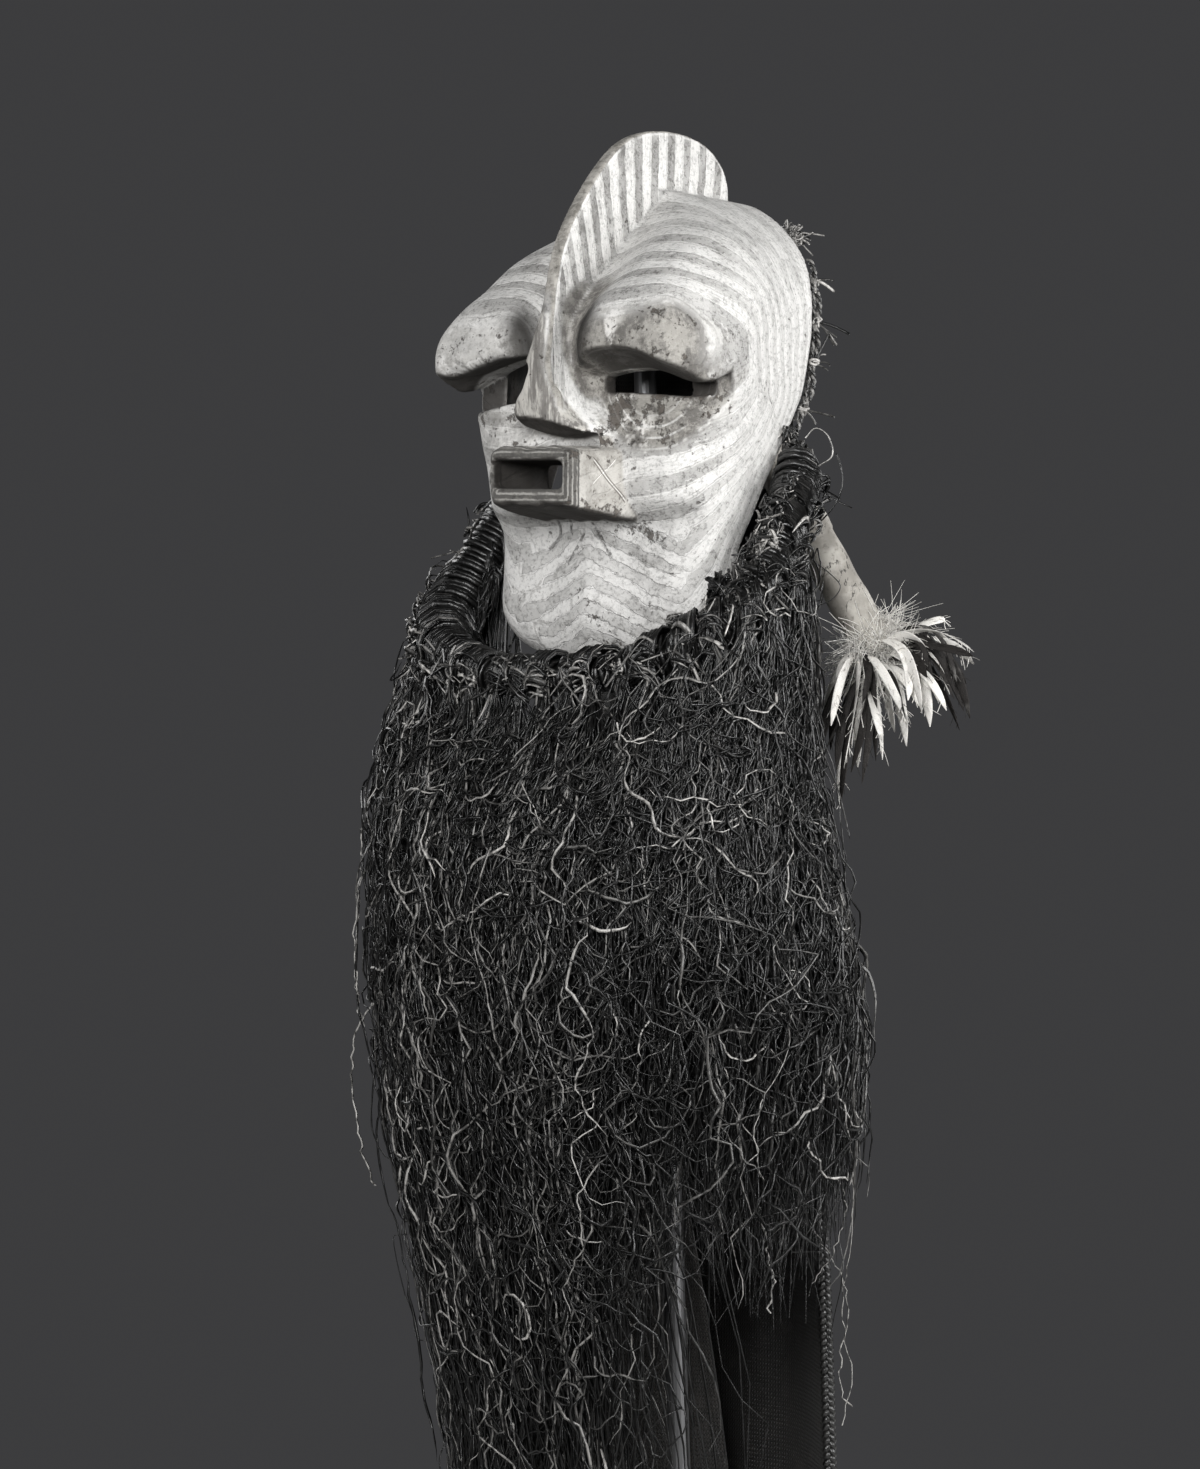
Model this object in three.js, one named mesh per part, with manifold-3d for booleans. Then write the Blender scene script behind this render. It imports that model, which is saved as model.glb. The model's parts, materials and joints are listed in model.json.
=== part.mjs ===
// A kilume mask of carved and painted wood, worn costume and all, on its display stand.
// The head is a hollow shell with a tall crest that runs down into the nose, two bulging lids
// over long eye slits, and a box mouth that juts forward. A raffia-wound roll hangs round the
// chin and carries the long fringe. A knitted cape hangs behind, and a stick with a feather
// tuft is tied in beside the left ear. A steel pole on a flat foot holds all of it up.
// Millimetres, +Z up. The face looks along -Y, and X is positive on the wearer's left.
// The origin is the centre of the foot's underside.
import * as THREE from "three";
import { mergeVertices } from "three/addons/utils/BufferGeometryUtils.js";
import Module from "manifold-3d";

const wasm = await Module();
wasm.setup();

// Driving sizes of the stand
const FOOT_SIZE = 440;
const FOOT_THICKNESS = 8;
const FOOT_CORNER = 30;
const SOCKET_HEIGHT = 48;
const SOCKET_WALL = 4;
const POLE_RADIUS = 11;
const POLE_TOP_Z = 1489;
const POLE_FOOT = [26, 20];
const POLE_LEAN = [-0.0249, -0.0195];
const FIT_GAP = 0.4;

// Driving sizes of the carved head
const CROWN_Z = 1541;
const CHIN_Z = 1062;
const RIM_TOP_Y = 117;
const CREST_THICKNESS = 15;
const LID_CENTRE = [92, -114, 1362];
const LID_HALF = [61, 64, 51];
const LID_DROP = 90;
const LID_PLAN_SQUARENESS = 4.5;
const LID_RISE_SQUARENESS = 2.3;
const LID_BLEND = 30;
const RIGHT_LID_RAISE = 19;
const DOME_HEIGHT = 22;
const KEEL_HEIGHT = 8;
const KEEL_HALF_WIDTH = 50;
const SLIT_INNER_X = 36;
const SLIT_OUTER_X = 151;

// Driving sizes of the costume
const BUNCH_COUNT = 15;
const SKIRT_WIDE_Z = 865;
const SKIRT_LATE_Z = 1012;
const FRINGE_END_Z = 165;
const SHORT_BUNCHES = 5;
const SHORT_END_Z = 505;
const CAPE_TOP_Z = 1240;
const CAPE_BOTTOM_Z = 130;
const HOOD_TOP_Z = 1425;
const CAPE_THICKNESS = 4;
const STICK_RADIUS = 22;
const FEATHERS = 13;

// Finishes, as grey as the photograph shows them
const paint = { color: 0xd8d3c8, roughness: 0.8, metalness: 0 };
const raffia = { color: 0x2a231c, roughness: 0.7, metalness: 0 };
const knit = { color: 0x1d1a17, roughness: 0.95, metalness: 0 };
const hide = { color: 0xb9ad9c, roughness: 0.6, metalness: 0 };
const feather = { color: 0xa39a8c, roughness: 0.8, metalness: 0 };
const steel = { color: 0x77787a, roughness: 0.4, metalness: 0.8 };

// A value of each column at z, on a smooth curve through rows that are sorted by falling z
function atHeight(rows, z) {
  const last = rows.length - 1;
  const t = THREE.MathUtils.clamp(z, rows[last][0], rows[0][0]);
  let i = 0;
  while (i < last - 1 && rows[i + 1][0] > t) i++;
  const before = rows[Math.max(i - 1, 0)];
  const [a, b] = [rows[i], rows[i + 1]];
  const after = rows[Math.min(i + 2, last)];
  const span = b[0] - a[0];
  const u = (t - a[0]) / span;
  return a.slice(1).map((_, k) => {
    const column = k + 1;
    const slopeIn = ((b[column] - before[column]) / (b[0] - before[0])) * span;
    const slopeOut = ((after[column] - a[column]) / (after[0] - a[0])) * span;
    const toB = 3 * u ** 2 - 2 * u ** 3;
    const bend = (u - 2 * u ** 2 + u ** 3) * slopeIn + (u ** 3 - u ** 2) * slopeOut;
    return (1 - toB) * a[column] + toB * b[column] + bend;
  });
}

// A closed geometry as a manifold solid
function solid(geometry) {
  const bare = geometry.clone();
  bare.deleteAttribute("normal");
  bare.deleteAttribute("uv");
  const merged = mergeVertices(bare, 1e-3);
  const made = new wasm.Manifold(
    new wasm.Mesh({
      numProp: 3,
      vertProperties: new Float32Array(merged.attributes.position.array),
      triVerts: new Uint32Array(merged.index.array),
    }),
  );
  return made;
}

// A manifold solid as a three.js geometry
function geometryOf(made) {
  const mesh = made.getMesh();
  const geometry = new THREE.BufferGeometry();
  geometry.setAttribute("position", new THREE.BufferAttribute(new Float32Array(mesh.vertProperties), 3));
  geometry.setIndex(new THREE.BufferAttribute(new Uint32Array(mesh.triVerts), 1));
  return geometry;
}

// The same triangles with each one's corners in the opposite order
const turned = (faces) => faces.map((_, i) => faces[i - (i % 3) + 2 - (i % 3)]);

// A closed solid through rings of points, each ring with as many points as the next
function loft(rings) {
  const sides = rings[0].length;
  const points = rings.flat();
  const faces = [];
  for (let r = 0; r < rings.length - 1; r++) {
    for (let k = 0; k < sides; k++) {
      const [a, b] = [r * sides + k, r * sides + ((k + 1) % sides)];
      faces.push(a, b, b + sides, a, b + sides, a + sides);
    }
  }
  for (const [first, flip] of [[0, true], [(rings.length - 1) * sides, false]]) {
    const middle = new THREE.Vector3();
    for (let k = 0; k < sides; k++) middle.add(points[first + k]);
    const hub = points.push(middle.divideScalar(sides)) - 1;
    for (let k = 0; k < sides; k++) {
      const [a, b] = [first + k, first + ((k + 1) % sides)];
      faces.push(...(flip ? [hub, b, a] : [hub, a, b]));
    }
  }
  const geometry = new THREE.BufferGeometry().setFromPoints(points);
  geometry.setIndex(faces);
  const volume = solid(geometry).volume();
  if (volume < 0) geometry.setIndex(turned(faces));
  return geometry;
}

// A round bar along a smooth curve, its radius read from the radii as it goes
function bar(points, radii, steps, sides) {
  const places = points.map((p) => new THREE.Vector3(...p));
  const curve = new THREE.CatmullRomCurve3(places, false, "centripetal");
  const frames = curve.computeFrenetFrames(steps, false);
  const rings = [];
  for (let i = 0; i <= steps; i++) {
    const place = (i / steps) * (radii.length - 1);
    const low = Math.min(Math.floor(place), radii.length - 2);
    const radius = THREE.MathUtils.lerp(radii[low], radii[low + 1], place - low);
    const centre = curve.getPoint(i / steps);
    const ring = [];
    for (let k = 0; k < sides; k++) {
      const angle = (k / sides) * 2 * Math.PI;
      ring.push(
        centre.clone()
          .addScaledVector(frames.normals[i], radius * Math.cos(angle))
          .addScaledVector(frames.binormals[i], radius * Math.sin(angle)),
      );
    }
    rings.push(ring);
  }
  return loft(rings);
}

// An outline in the side view, given as [y, z] points, made into a plate as thick as x is wide
function sidePlate(outline, halfWidth, bevel) {
  const shape = new THREE.Shape(outline.map(([y, z]) => new THREE.Vector2(y, z)));
  const geometry = new THREE.ExtrudeGeometry(shape, {
    depth: 2 * (halfWidth - bevel),
    bevelEnabled: bevel > 0,
    bevelThickness: bevel,
    bevelSize: bevel,
    bevelOffset: -bevel,
    bevelSegments: 1,
    curveSegments: 1,
  });
  geometry.translate(0, 0, -(halfWidth - bevel));
  const upright = new THREE.Matrix4().makeBasis(
    new THREE.Vector3(0, 1, 0),
    new THREE.Vector3(0, 0, 1),
    new THREE.Vector3(1, 0, 0),
  );
  return geometry.applyMatrix4(upright);
}

// Horizontal sections of the head: height, half width, front y, middle y and squareness
const BROW_ROWS = [
  [CROWN_Z, 6, 8, 112, 3],
  [1532, 42, 1, 108, 3],
  [1515, 76, -20, 100, 3.4],
  [1491, 107, -47, 90, 3.8],
  [1465, 130, -75, 80, 4.2],
  [1435, 145, -107, 68, 4.8],
  [1410, 150, -133, 62, 5],
  [1386, 152.5, -146, 57, 5],
  [1350, 153, -143, 47, 5.6],
  [1325, 150, -135, 42, 5],
  [1290, 138, -110, 34, 5],
];
const FACE_ROWS = [
  [1400, 145, -120, 60, 6],
  [1350, 152.2, -127, 47, 6],
  [1310, 149, -124, 33, 6],
  [1265, 144.5, -130, 10, 5],
  [1235, 141, -129, -8, 4.4],
  [1220, 140.5, -125, -15, 4.2],
  [1206, 140, -110, -23, 4],
  [1192, 139, -102, -31, 3.8],
  [1150, 136, -103, -54, 3.2],
  [1120, 131, -108, -62, 3.2],
  [1100, 120, -107, -64, 3],
  [1084, 101, -102, -65, 2.8],
  [1071, 68, -92, -66, 2.6],
  [CHIN_Z, 8, -80, -67, 2.4],
];
const HOLLOW_ROWS = [
  [CROWN_Z - 20, 8, 14, 112, 3],
  [1508, 50, 4, 108, 3],
  [1488, 80, -18, 98, 3.2],
  [1462, 106, -46, 86, 3.6],
  [1435, 125, -74, 72, 4.2],
  [1405, 133, -100, 64, 4.6],
  [1345, 137, -107, 46, 5],
  [1290, 132, -107, 24, 5],
  [1235, 126, -106, -8, 4.5],
  [1195, 123, -85, -30, 4],
  [1150, 118, -86, -54, 3.4],
  [1120, 114, -91, -62, 3.2],
  [1102, 98, -88, -64, 3],
  [1088, 74, -83, -65, 2.8],
  [1078, 38, -77, -66, 2.6],
  [1074, 6, -74, -67, 2.4],
];
// The rim that the head is cut back to, as [y, z] in the side view
const RIM = [
  [RIM_TOP_Y, 1620], [RIM_TOP_Y, 1540], [102, 1520], [88, 1488], [67, 1435], [56, 1384],
  [39, 1323], [18, 1283], [-10, 1233], [-43, 1177], [-60, 1124], [-66, 1076], [-66, 1040],
];

// How far the chin's upright keel stands out at a point
function keel(p) {
  const { smoothstep } = THREE.MathUtils;
  const across = Math.max(0, 1 - Math.abs(p.x) / KEEL_HALF_WIDTH);
  return KEEL_HEIGHT * across * smoothstep(1212 - p.z, 0, 20) * smoothstep(p.z, 1076, 1110);
}

// How far the twin domes of the brow stand out at a point
function dome(p) {
  const { smoothstep } = THREE.MathUtils;
  const across = smoothstep(Math.abs(p.x), 8, 78) * (1 - 0.5 * smoothstep(Math.abs(p.x), 105, 150));
  const ahead = smoothstep(35 - p.y, 0, 90);
  const level = smoothstep(p.z, 1370, 1425) * (1 - smoothstep(p.z, 1455, 1535));
  return DOME_HEIGHT * across * ahead * level;
}

// How far a point is outside a head of the given rows, roughly in millimetres
function headField(rows, p) {
  const [halfWidth, front, middle, square] = atHeight(rows, p.z);
  const depth = middle - front;
  const across = Math.abs(p.x / halfWidth) ** square;
  const ahead = Math.abs((p.y - middle) / depth) ** square;
  const reach = (across + ahead) ** (1 / square);
  const over = Math.max(p.z - rows[0][0], rows[rows.length - 1][0] - p.z, 0);
  return (reach - 1) * Math.min(halfWidth, depth) + over * 3;
}

// The wearer's right lid sits higher than the left one
const lidRaise = (x) => (x < 0 ? RIGHT_LID_RAISE * THREE.MathUtils.smoothstep(-x, 10, 130) : 0);

function lidField(p) {
  const across = (Math.abs(p.x) - LID_CENTRE[0]) / LID_HALF[0];
  const ahead = (p.y - LID_CENTRE[1]) / LID_HALF[1];
  const above = p.z - LID_CENTRE[2];
  const rise = above > 0 ? above / LID_HALF[2] : -above / LID_DROP;
  const plan = Math.abs(across) ** LID_PLAN_SQUARENESS + Math.abs(ahead) ** LID_PLAN_SQUARENESS;
  const up = plan ** (LID_RISE_SQUARENESS / LID_PLAN_SQUARENESS) + rise ** LID_RISE_SQUARENESS;
  return (up ** (1 / LID_RISE_SQUARENESS) - 1) * LID_HALF[2];
}

// The two fields joined with a rounded valley between them
function blend(a, b, width) {
  const share = THREE.MathUtils.clamp(0.5 + (0.5 * (b - a)) / width, 0, 1);
  return THREE.MathUtils.lerp(b, a, share) - width * share * (1 - share);
}

// A ball whose every vertex is pushed along its ray to where the field is zero
function pushedBall(centre, detail, field) {
  const ball = new THREE.IcosahedronGeometry(1, detail);
  const position = ball.attributes.position;
  const ray = new THREE.Vector3();
  const probe = new THREE.Vector3();
  const inside = (distance) => field(probe.copy(ray).multiplyScalar(distance).add(centre)) < 0;
  for (let i = 0; i < position.count; i++) {
    ray.fromBufferAttribute(position, i).normalize();
    let far = 420;
    while (far > 8 && !inside(far)) far -= 5;
    let near = far;
    far += 5;
    for (let step = 0; step < 14; step++) {
      const middle = (near + far) / 2;
      if (inside(middle)) near = middle;
      else far = middle;
    }
    probe.copy(ray).multiplyScalar(near).add(centre);
    position.setXYZ(i, probe.x, probe.y, probe.z);
  }
  return ball;
}

// The underside of the lids: height of the cut at a plan position
function lidUnderside(x, y) {
  const across = Math.abs(x);
  const { smoothstep, clamp, lerp } = THREE.MathUtils;
  const lip = 1364 + 3 * smoothstep(across, 30, 70) - 21 * smoothstep(across, 85, 150);
  const front = lip - 0.42 * clamp(y + 176, 0, 48);
  const [side] = atHeight(
    [[0, 1352], [-60, 1352], [-86, 1340], [-104, 1330], [-122, 1326], [-153, 1337], [-180, 1346]],
    y,
  );
  return lerp(front, side, smoothstep(across, 118, 152)) + lidRaise(x);
}

// Everything below the lids' underside, as a block with a shaped top
function belowLids() {
  const [width, depth, bottom] = [400, 360, 1000];
  const block = new THREE.BoxGeometry(width, depth, 1, 22, 18, 1);
  const position = block.attributes.position;
  for (let i = 0; i < position.count; i++) {
    const [x, y] = [position.getX(i), position.getY(i) - 40];
    position.setXYZ(i, x, y, position.getZ(i) > 0 ? lidUnderside(x, y) : bottom);
  }
  return block;
}

// The notch in the cheek's top that leaves the eye slit open under the lid
function slitNotch(side) {
  const width = SLIT_OUTER_X - SLIT_INNER_X;
  const block = new THREE.BoxGeometry(width, 135, 1, 12, 1, 1);
  const position = block.attributes.position;
  for (let i = 0; i < position.count; i++) {
    const across = position.getX(i) + width / 2 + SLIT_INNER_X;
    const sag = 4 * Math.sin(((across - SLIT_INNER_X) / 50) * Math.PI * 0.5);
    const floor = 1317 + sag + 9 * THREE.MathUtils.smoothstep(across, 122, SLIT_OUTER_X);
    position.setXYZ(i, across * side, position.getY(i) - 162, position.getZ(i) > 0 ? 1390 : floor);
  }
  if (side < 0) block.index.array.reverse();
  return block;
}

// Nose: height, ridge half width, ridge y, and foot half width where it meets the face
const NOSE_ROWS = [
  [1412, 6, -160, 9],
  [1385, 7, -174, 13],
  [1360, 8, -178, 17],
  [1342, 10, -180, 22],
  [1326, 14, -181, 29],
  [1312, 21, -180, 39],
  [1301, 33, -177, 49],
  [1294, 42, -170, 54],
  [1284, 44, -146, 56],
];
const NOSE_BACK_Y = -112;
const NOSE_TILT = 0.07;

function noseForm() {
  return loft(
    NOSE_ROWS.map(([z, ridge, front, foot]) => {
      const flankX = (ridge + foot) / 2 - 2;
      const flankY = front + 17;
      const outline = [
        [-foot, NOSE_BACK_Y], [-foot, -128], [-flankX, flankY], [-ridge, front], [0, front - 3],
      ];
      const mirrored = outline.slice(0, 4).reverse().map(([x, y]) => [-x, y]);
      const droop = 4 * THREE.MathUtils.smoothstep(1320 - z, 0, 30);
      const level = (x) => z - NOSE_TILT * x - droop * Math.max(0, 1 - Math.abs(x) / 50);
      return [...outline, ...mirrored].map(([x, y]) => new THREE.Vector3(x, y, level(x)));
    }),
  );
}

// Mouth box: y, half width, top and bottom; and the hole through it
const MOUTH_ROWS = [
  [-199, 52, 1270, 1214],
  [-172, 54, 1271, 1211],
  [-140, 60, 1273, 1207],
  [-114, 64, 1275, 1204],
];
const MOUTH_TILT = 0.05;
const MOUTH_HOLE = { left: -44, right: 38, top: 1257, bottom: 1230 };

function mouthRing(y, left, right, top, bottom, radius) {
  const shape = [];
  const corners = [
    [right - radius, top - radius, 0],
    [left + radius, top - radius, 1],
    [left + radius, bottom + radius, 2],
    [right - radius, bottom + radius, 3],
  ];
  for (const [x, z, quarter] of corners) {
    for (let k = 0; k <= 2; k++) {
      const angle = ((quarter + k / 2) * Math.PI) / 2;
      const px = x + radius * Math.cos(angle);
      shape.push(new THREE.Vector3(px, y, z + radius * Math.sin(angle) - MOUTH_TILT * px));
    }
  }
  return shape;
}

function mouthForm() {
  const body = MOUTH_ROWS.map(([y, half, top, bottom]) => mouthRing(y, -half, half, top, bottom, 5));
  return loft(body);
}

function mouthHole() {
  const { left, right, top, bottom } = MOUTH_HOLE;
  return loft([-230, -85].map((y) => mouthRing(y, left, right, top, bottom, 3)));
}

// The crest: outer edge as [y, z], from the nose over the top to the back of the crown
const CREST_EDGE = [
  [-172, 1330], [-177, 1352], [-174, 1378], [-170, 1407], [-165, 1436], [-157, 1462],
  [-144, 1487], [-125, 1514], [-103, 1540], [-83, 1560], [-62, 1577], [-38, 1589],
  [-8, 1597], [32, 1600], [68, 1596], [92, 1586], [108, 1572], [116, 1556],
];
const CREST_ROOT = [
  [RIM_TOP_Y + 8, 1546], [RIM_TOP_Y + 8, 1528], [10, 1526], [-58, 1470],
  [-112, 1415], [-132, 1380], [-134, 1330],
];

function carvedHead() {
  const browCentre = new THREE.Vector3(0, 10, 1395);
  const faceCentre = new THREE.Vector3(0, -45, 1240);
  const hollowCentre = new THREE.Vector3(0, -30, 1320);
  const browField = (p) => blend(headField(BROW_ROWS, p) - dome(p), lidField(p), LID_BLEND);
  const brow = solid(pushedBall(browCentre, 13, browField));
  const face = solid(pushedBall(faceCentre, 11, (p) => headField(FACE_ROWS, p) - keel(p)));
  const hollow = solid(pushedBall(hollowCentre, 6, (p) => headField(HOLLOW_ROWS, p) - dome(p)));
  const behind = solid(sidePlate([...RIM, [400, 1040], [400, 1620]].reverse(), 220, 0));
  const crest = solid(sidePlate([...CREST_EDGE, ...CREST_ROOT], CREST_THICKNESS / 2, 2.5));
  const lids = brow.subtract(solid(belowLids()));
  const cheeks = face.subtract(solid(slitNotch(1))).subtract(solid(slitNotch(-1)));
  return lids
    .add(cheeks)
    .add(crest)
    .add(solid(noseForm()))
    .add(solid(mouthForm()))
    .subtract(hollow)
    .subtract(behind)
    .subtract(solid(mouthHole()));
}

// The raffia-wound roll, from the left ear round under the chin to the right ear
const ROLL_PATH = [
  [164, 14, 1262], [174, -8, 1226], [180, -42, 1172], [171, -82, 1120], [139, -114, 1083],
  [80, -135, 1059], [0, -143, 1050], [-80, -141, 1052], [-148, -127, 1066],
  [-192, -95, 1096], [-202, -54, 1140], [-190, -19, 1196], [-168, 8, 1248],
];
const ROLL_RADII = [19, 22, 24, 24, 21, 17, 15, 17, 22, 26, 26, 23, 20];
const rollPoints = ROLL_PATH.map((p) => new THREE.Vector3(...p));
const rollCurve = new THREE.CatmullRomCurve3(rollPoints, false, "centripetal");
const rollPlace = (share) => THREE.MathUtils.clamp(0.03 + 0.94 * share, 0, 1);
const rollPoint = (share) => rollCurve.getPointAt(rollPlace(share));

// The skirt that the bunches make: plan ellipses where it is widest and at its foot
const SKIRT_FROM = THREE.MathUtils.degToRad(27);
const SKIRT_TO = THREE.MathUtils.degToRad(-206);
const skirtWide = new THREE.EllipseCurve(-12, -50, 260, 163, SKIRT_FROM, SKIRT_TO, true);
const skirtFoot = new THREE.EllipseCurve(12, -42, 196, 116, SKIRT_FROM, SKIRT_TO, true);
const BUNCH_SIDES = 7;
const BUNCH_FILL = 0.955;

// The skirt's centre line in plan: outset 0 at the roll, 1 at the widest, 2 at the foot
function skirtPoint(share, outset) {
  const at = THREE.MathUtils.clamp(share, 0, 1);
  const wide = skirtWide.getPointAt(at);
  if (outset <= 1) {
    const top = rollPoint(share);
    return new THREE.Vector3(top.x, top.y, 0).lerp(new THREE.Vector3(wide.x, wide.y, 0), outset);
  }
  const foot = skirtFoot.getPointAt(at);
  return new THREE.Vector3(wide.x, wide.y, 0).lerp(new THREE.Vector3(foot.x, foot.y, 0), outset - 1);
}

// The outward direction of the skirt in plan
function skirtOutward(share, outset) {
  const along = skirtPoint(share + 0.01, outset).sub(skirtPoint(share - 0.01, outset)).normalize();
  return new THREE.Vector3(along.y, -along.x, 0).negate();
}

// The bunches in front of the pole hang short and let it be seen
function bunchEnd(index) {
  const ragged = 26 * Math.sin(index * 2.3) + 20 * Math.cos(index * 1.1);
  return (index < SHORT_BUNCHES ? SHORT_END_Z : FRINGE_END_Z) + ragged;
}

// How far out the skirt stands at a height, 0 at the roll and 1 at its widest
function outsetAt(share, z) {
  const { smoothstep, clamp, lerp } = THREE.MathUtils;
  const startZ = rollPoint(share).z - 30;
  const eager = Math.sin((clamp((startZ - z) / (startZ - SKIRT_WIDE_Z), 0, 1) * Math.PI) / 2);
  const late = smoothstep(SKIRT_LATE_Z - z, 0, 230);
  return lerp(late, eager, smoothstep(share, 0.1, 0.34));
}

// One hanging bunch of raffia: rings from the roll down to the bunch's end
function bunchForm(index) {
  const half = (0.5 / BUNCH_COUNT) * BUNCH_FILL;
  const middle = (index + 0.5) / BUNCH_COUNT;
  const endZ = bunchEnd(index);
  const lowest = index < SHORT_BUNCHES ? 1.5 : 2;
  const drop = (mm) => (share) => rollPoint(share).z - mm;
  const toWide = (part) => (share) => THREE.MathUtils.lerp(rollPoint(share).z - 34, SKIRT_WIDE_Z, part);
  const toEnd = (part) => () => THREE.MathUtils.lerp(SKIRT_WIDE_Z - 60, endZ, part);
  const rows = [
    { z: drop(-5), foot: 0, push: 6.5, thick: 3.5, wide: 0.8 },
    { z: drop(6), foot: 0, push: 7.5, thick: 4.8, wide: 0.95 },
    { z: toWide(0), foot: 0, push: 4, thick: 9, wide: 1 },
    { z: toWide(0.3), foot: 0, push: -4, thick: 17, wide: 1 },
    { z: toWide(0.65), foot: 0, push: -2, thick: 21, wide: 1 },
    { z: toWide(1), foot: 0, push: 0, thick: 24, wide: 1 },
    { z: toEnd(0.25), foot: 0.22, push: 0, thick: 23, wide: 0.97 },
    { z: toEnd(0.6), foot: 0.62, push: 0, thick: 20, wide: 0.92 },
    { z: toEnd(0.92), foot: 0.94, push: 0, thick: 14, wide: 0.75 },
    { z: toEnd(1), foot: 1, push: 0, thick: 5, wide: 0.35 },
  ];
  return loft(
    rows.map(({ z, foot, push, thick, wide }, row) => {
      const swell = thick * (1 + 0.14 * Math.sin(index * 1.9 + row * 1.3) * Math.min(row / 4, 1));
      const ring = [];
      for (let k = 0; k < BUNCH_SIDES; k++) {
        const a = ((k + 0.5) / BUNCH_SIDES) * 2 * Math.PI;
        const share = middle + half * wide * Math.sin(a);
        const outset = outsetAt(middle, z(middle)) + foot * (lowest - 1);
        const clear = (1 - Math.min(outset, 1)) * rollRadiusAt(middle);
        ring.push(
          skirtPoint(share, outset)
            .addScaledVector(skirtOutward(share, outset), clear + push + swell * Math.cos(a))
            .setZ(z(share)),
        );
      }
      return ring;
    }),
  );
}

// The roll's radius at a bunch
function rollRadiusAt(share) {
  const place = rollPlace(share) * (ROLL_RADII.length - 1);
  const low = Math.min(Math.floor(place), ROLL_RADII.length - 2);
  return THREE.MathUtils.lerp(ROLL_RADII[low], ROLL_RADII[low + 1], place - low);
}

// The cape's plan at its top and its bottom, from the braided edge round the back to the loose end
const CAPE_TOP = [
  [98, 96], [66, 126], [0, 138], [-66, 126], [-110, 88], [-132, 44], [-134, 20],
];
const CAPE_BOTTOM = [
  [152, 88], [92, 138], [0, 158], [-98, 130], [-158, 60], [-146, -8], [-88, -18], [-22, 26], [58, 68],
];
const CAPE_FOLDS = 7;
const CAPE_COLUMNS = 22;
const inPlan = ([x, y]) => new THREE.Vector3(x, y, 0);
const capeTop = new THREE.CatmullRomCurve3(CAPE_TOP.map(inPlan));
const capeBottom = new THREE.CatmullRomCurve3(CAPE_BOTTOM.map(inPlan));

// The cape's upper end goes up inside the head's open back, where the slits show it as dark cloth
const HOOD_TOP = [
  [112, 76], [78, 110], [0, 128], [-78, 110], [-110, 78],
];
const HOOD_COLUMNS = 17;
const hoodTop = new THREE.CatmullRomCurve3(HOOD_TOP.map(inPlan));

// A point of the cape's middle surface, share 0..1 along it and drop 0..1 down it
function capePoint(share, drop) {
  const a = capeTop.getPointAt(share);
  const b = capeBottom.getPointAt(share);
  const ease = THREE.MathUtils.smoothstep(drop, -0.15, 1.1);
  const point = a.lerp(b, ease);
  const along = capeBottom.getTangentAt(share);
  const fold = 7 * drop * Math.sin(share * CAPE_FOLDS * 2 * Math.PI) * Math.sin(Math.PI * share);
  point.addScaledVector(new THREE.Vector3(along.y, -along.x, 0), fold);
  return point.setZ(THREE.MathUtils.lerp(CAPE_TOP_Z, CAPE_BOTTOM_Z, drop));
}

// A point of the cape's upper end, share 0..1 along it and drop 0..1 down it
function hoodPoint(share, drop) {
  const point = capePoint((share * HOOD_COLUMNS) / CAPE_COLUMNS, 0);
  point.lerp(hoodTop.getPointAt(share), 1 - drop);
  return point.setZ(THREE.MathUtils.lerp(HOOD_TOP_Z, CAPE_TOP_Z - 3, drop));
}

// Cloth of the cape's thickness on a surface of points
function clothForm(surface, across, down) {
  const rings = [];
  for (let j = 0; j <= down; j++) {
    const outer = [];
    const inner = [];
    for (let i = 0; i <= across; i++) {
      const share = i / across;
      const here = surface(share, j / down);
      const ahead = surface(Math.min(share + 0.004, 1), j / down);
      const along = ahead.sub(surface(Math.max(share - 0.004, 0), j / down)).normalize();
      const normal = new THREE.Vector3(along.y, -along.x, 0).multiplyScalar(CAPE_THICKNESS / 2);
      outer.push(here.clone().add(normal));
      inner.push(here.clone().sub(normal));
    }
    rings.push([...outer, ...inner.reverse()]);
  }
  const sides = rings[0].length;
  const faces = [];
  for (let r = 0; r < down; r++) {
    for (let k = 0; k < sides; k++) {
      const [a, b] = [r * sides + k, r * sides + ((k + 1) % sides)];
      faces.push(a, b, b + sides, a, b + sides, a + sides);
    }
  }
  for (const [first, flip] of [[0, true], [down * sides, false]]) {
    for (let k = 0; k < across; k++) {
      const [a, b, c, d] = [first + k, first + k + 1, first + sides - 2 - k, first + sides - 1 - k];
      faces.push(...(flip ? [a, c, b, a, d, c] : [a, b, c, a, c, d]));
    }
  }
  const geometry = new THREE.BufferGeometry().setFromPoints(rings.flat());
  geometry.setIndex(faces);
  if (solid(geometry).volume() < 0) geometry.setIndex(turned(faces));
  return geometry;
}

function capeForm() {
  const hanging = solid(clothForm(capePoint, CAPE_COLUMNS, 6));
  return geometryOf(hanging.add(solid(clothForm(hoodPoint, HOOD_COLUMNS, 2))));
}

function capeEdgeForm() {
  const points = [];
  for (let j = 0; j <= 8; j++) {
    const drop = j / 8;
    const edge = capePoint(0, drop);
    const outward = capePoint(0, drop).sub(capePoint(0.01, drop)).normalize();
    points.push(edge.addScaledVector(outward, 7.6).toArray());
  }
  return bar(points, [6.5, 7, 7, 7, 6.5], 12, 6);
}

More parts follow.
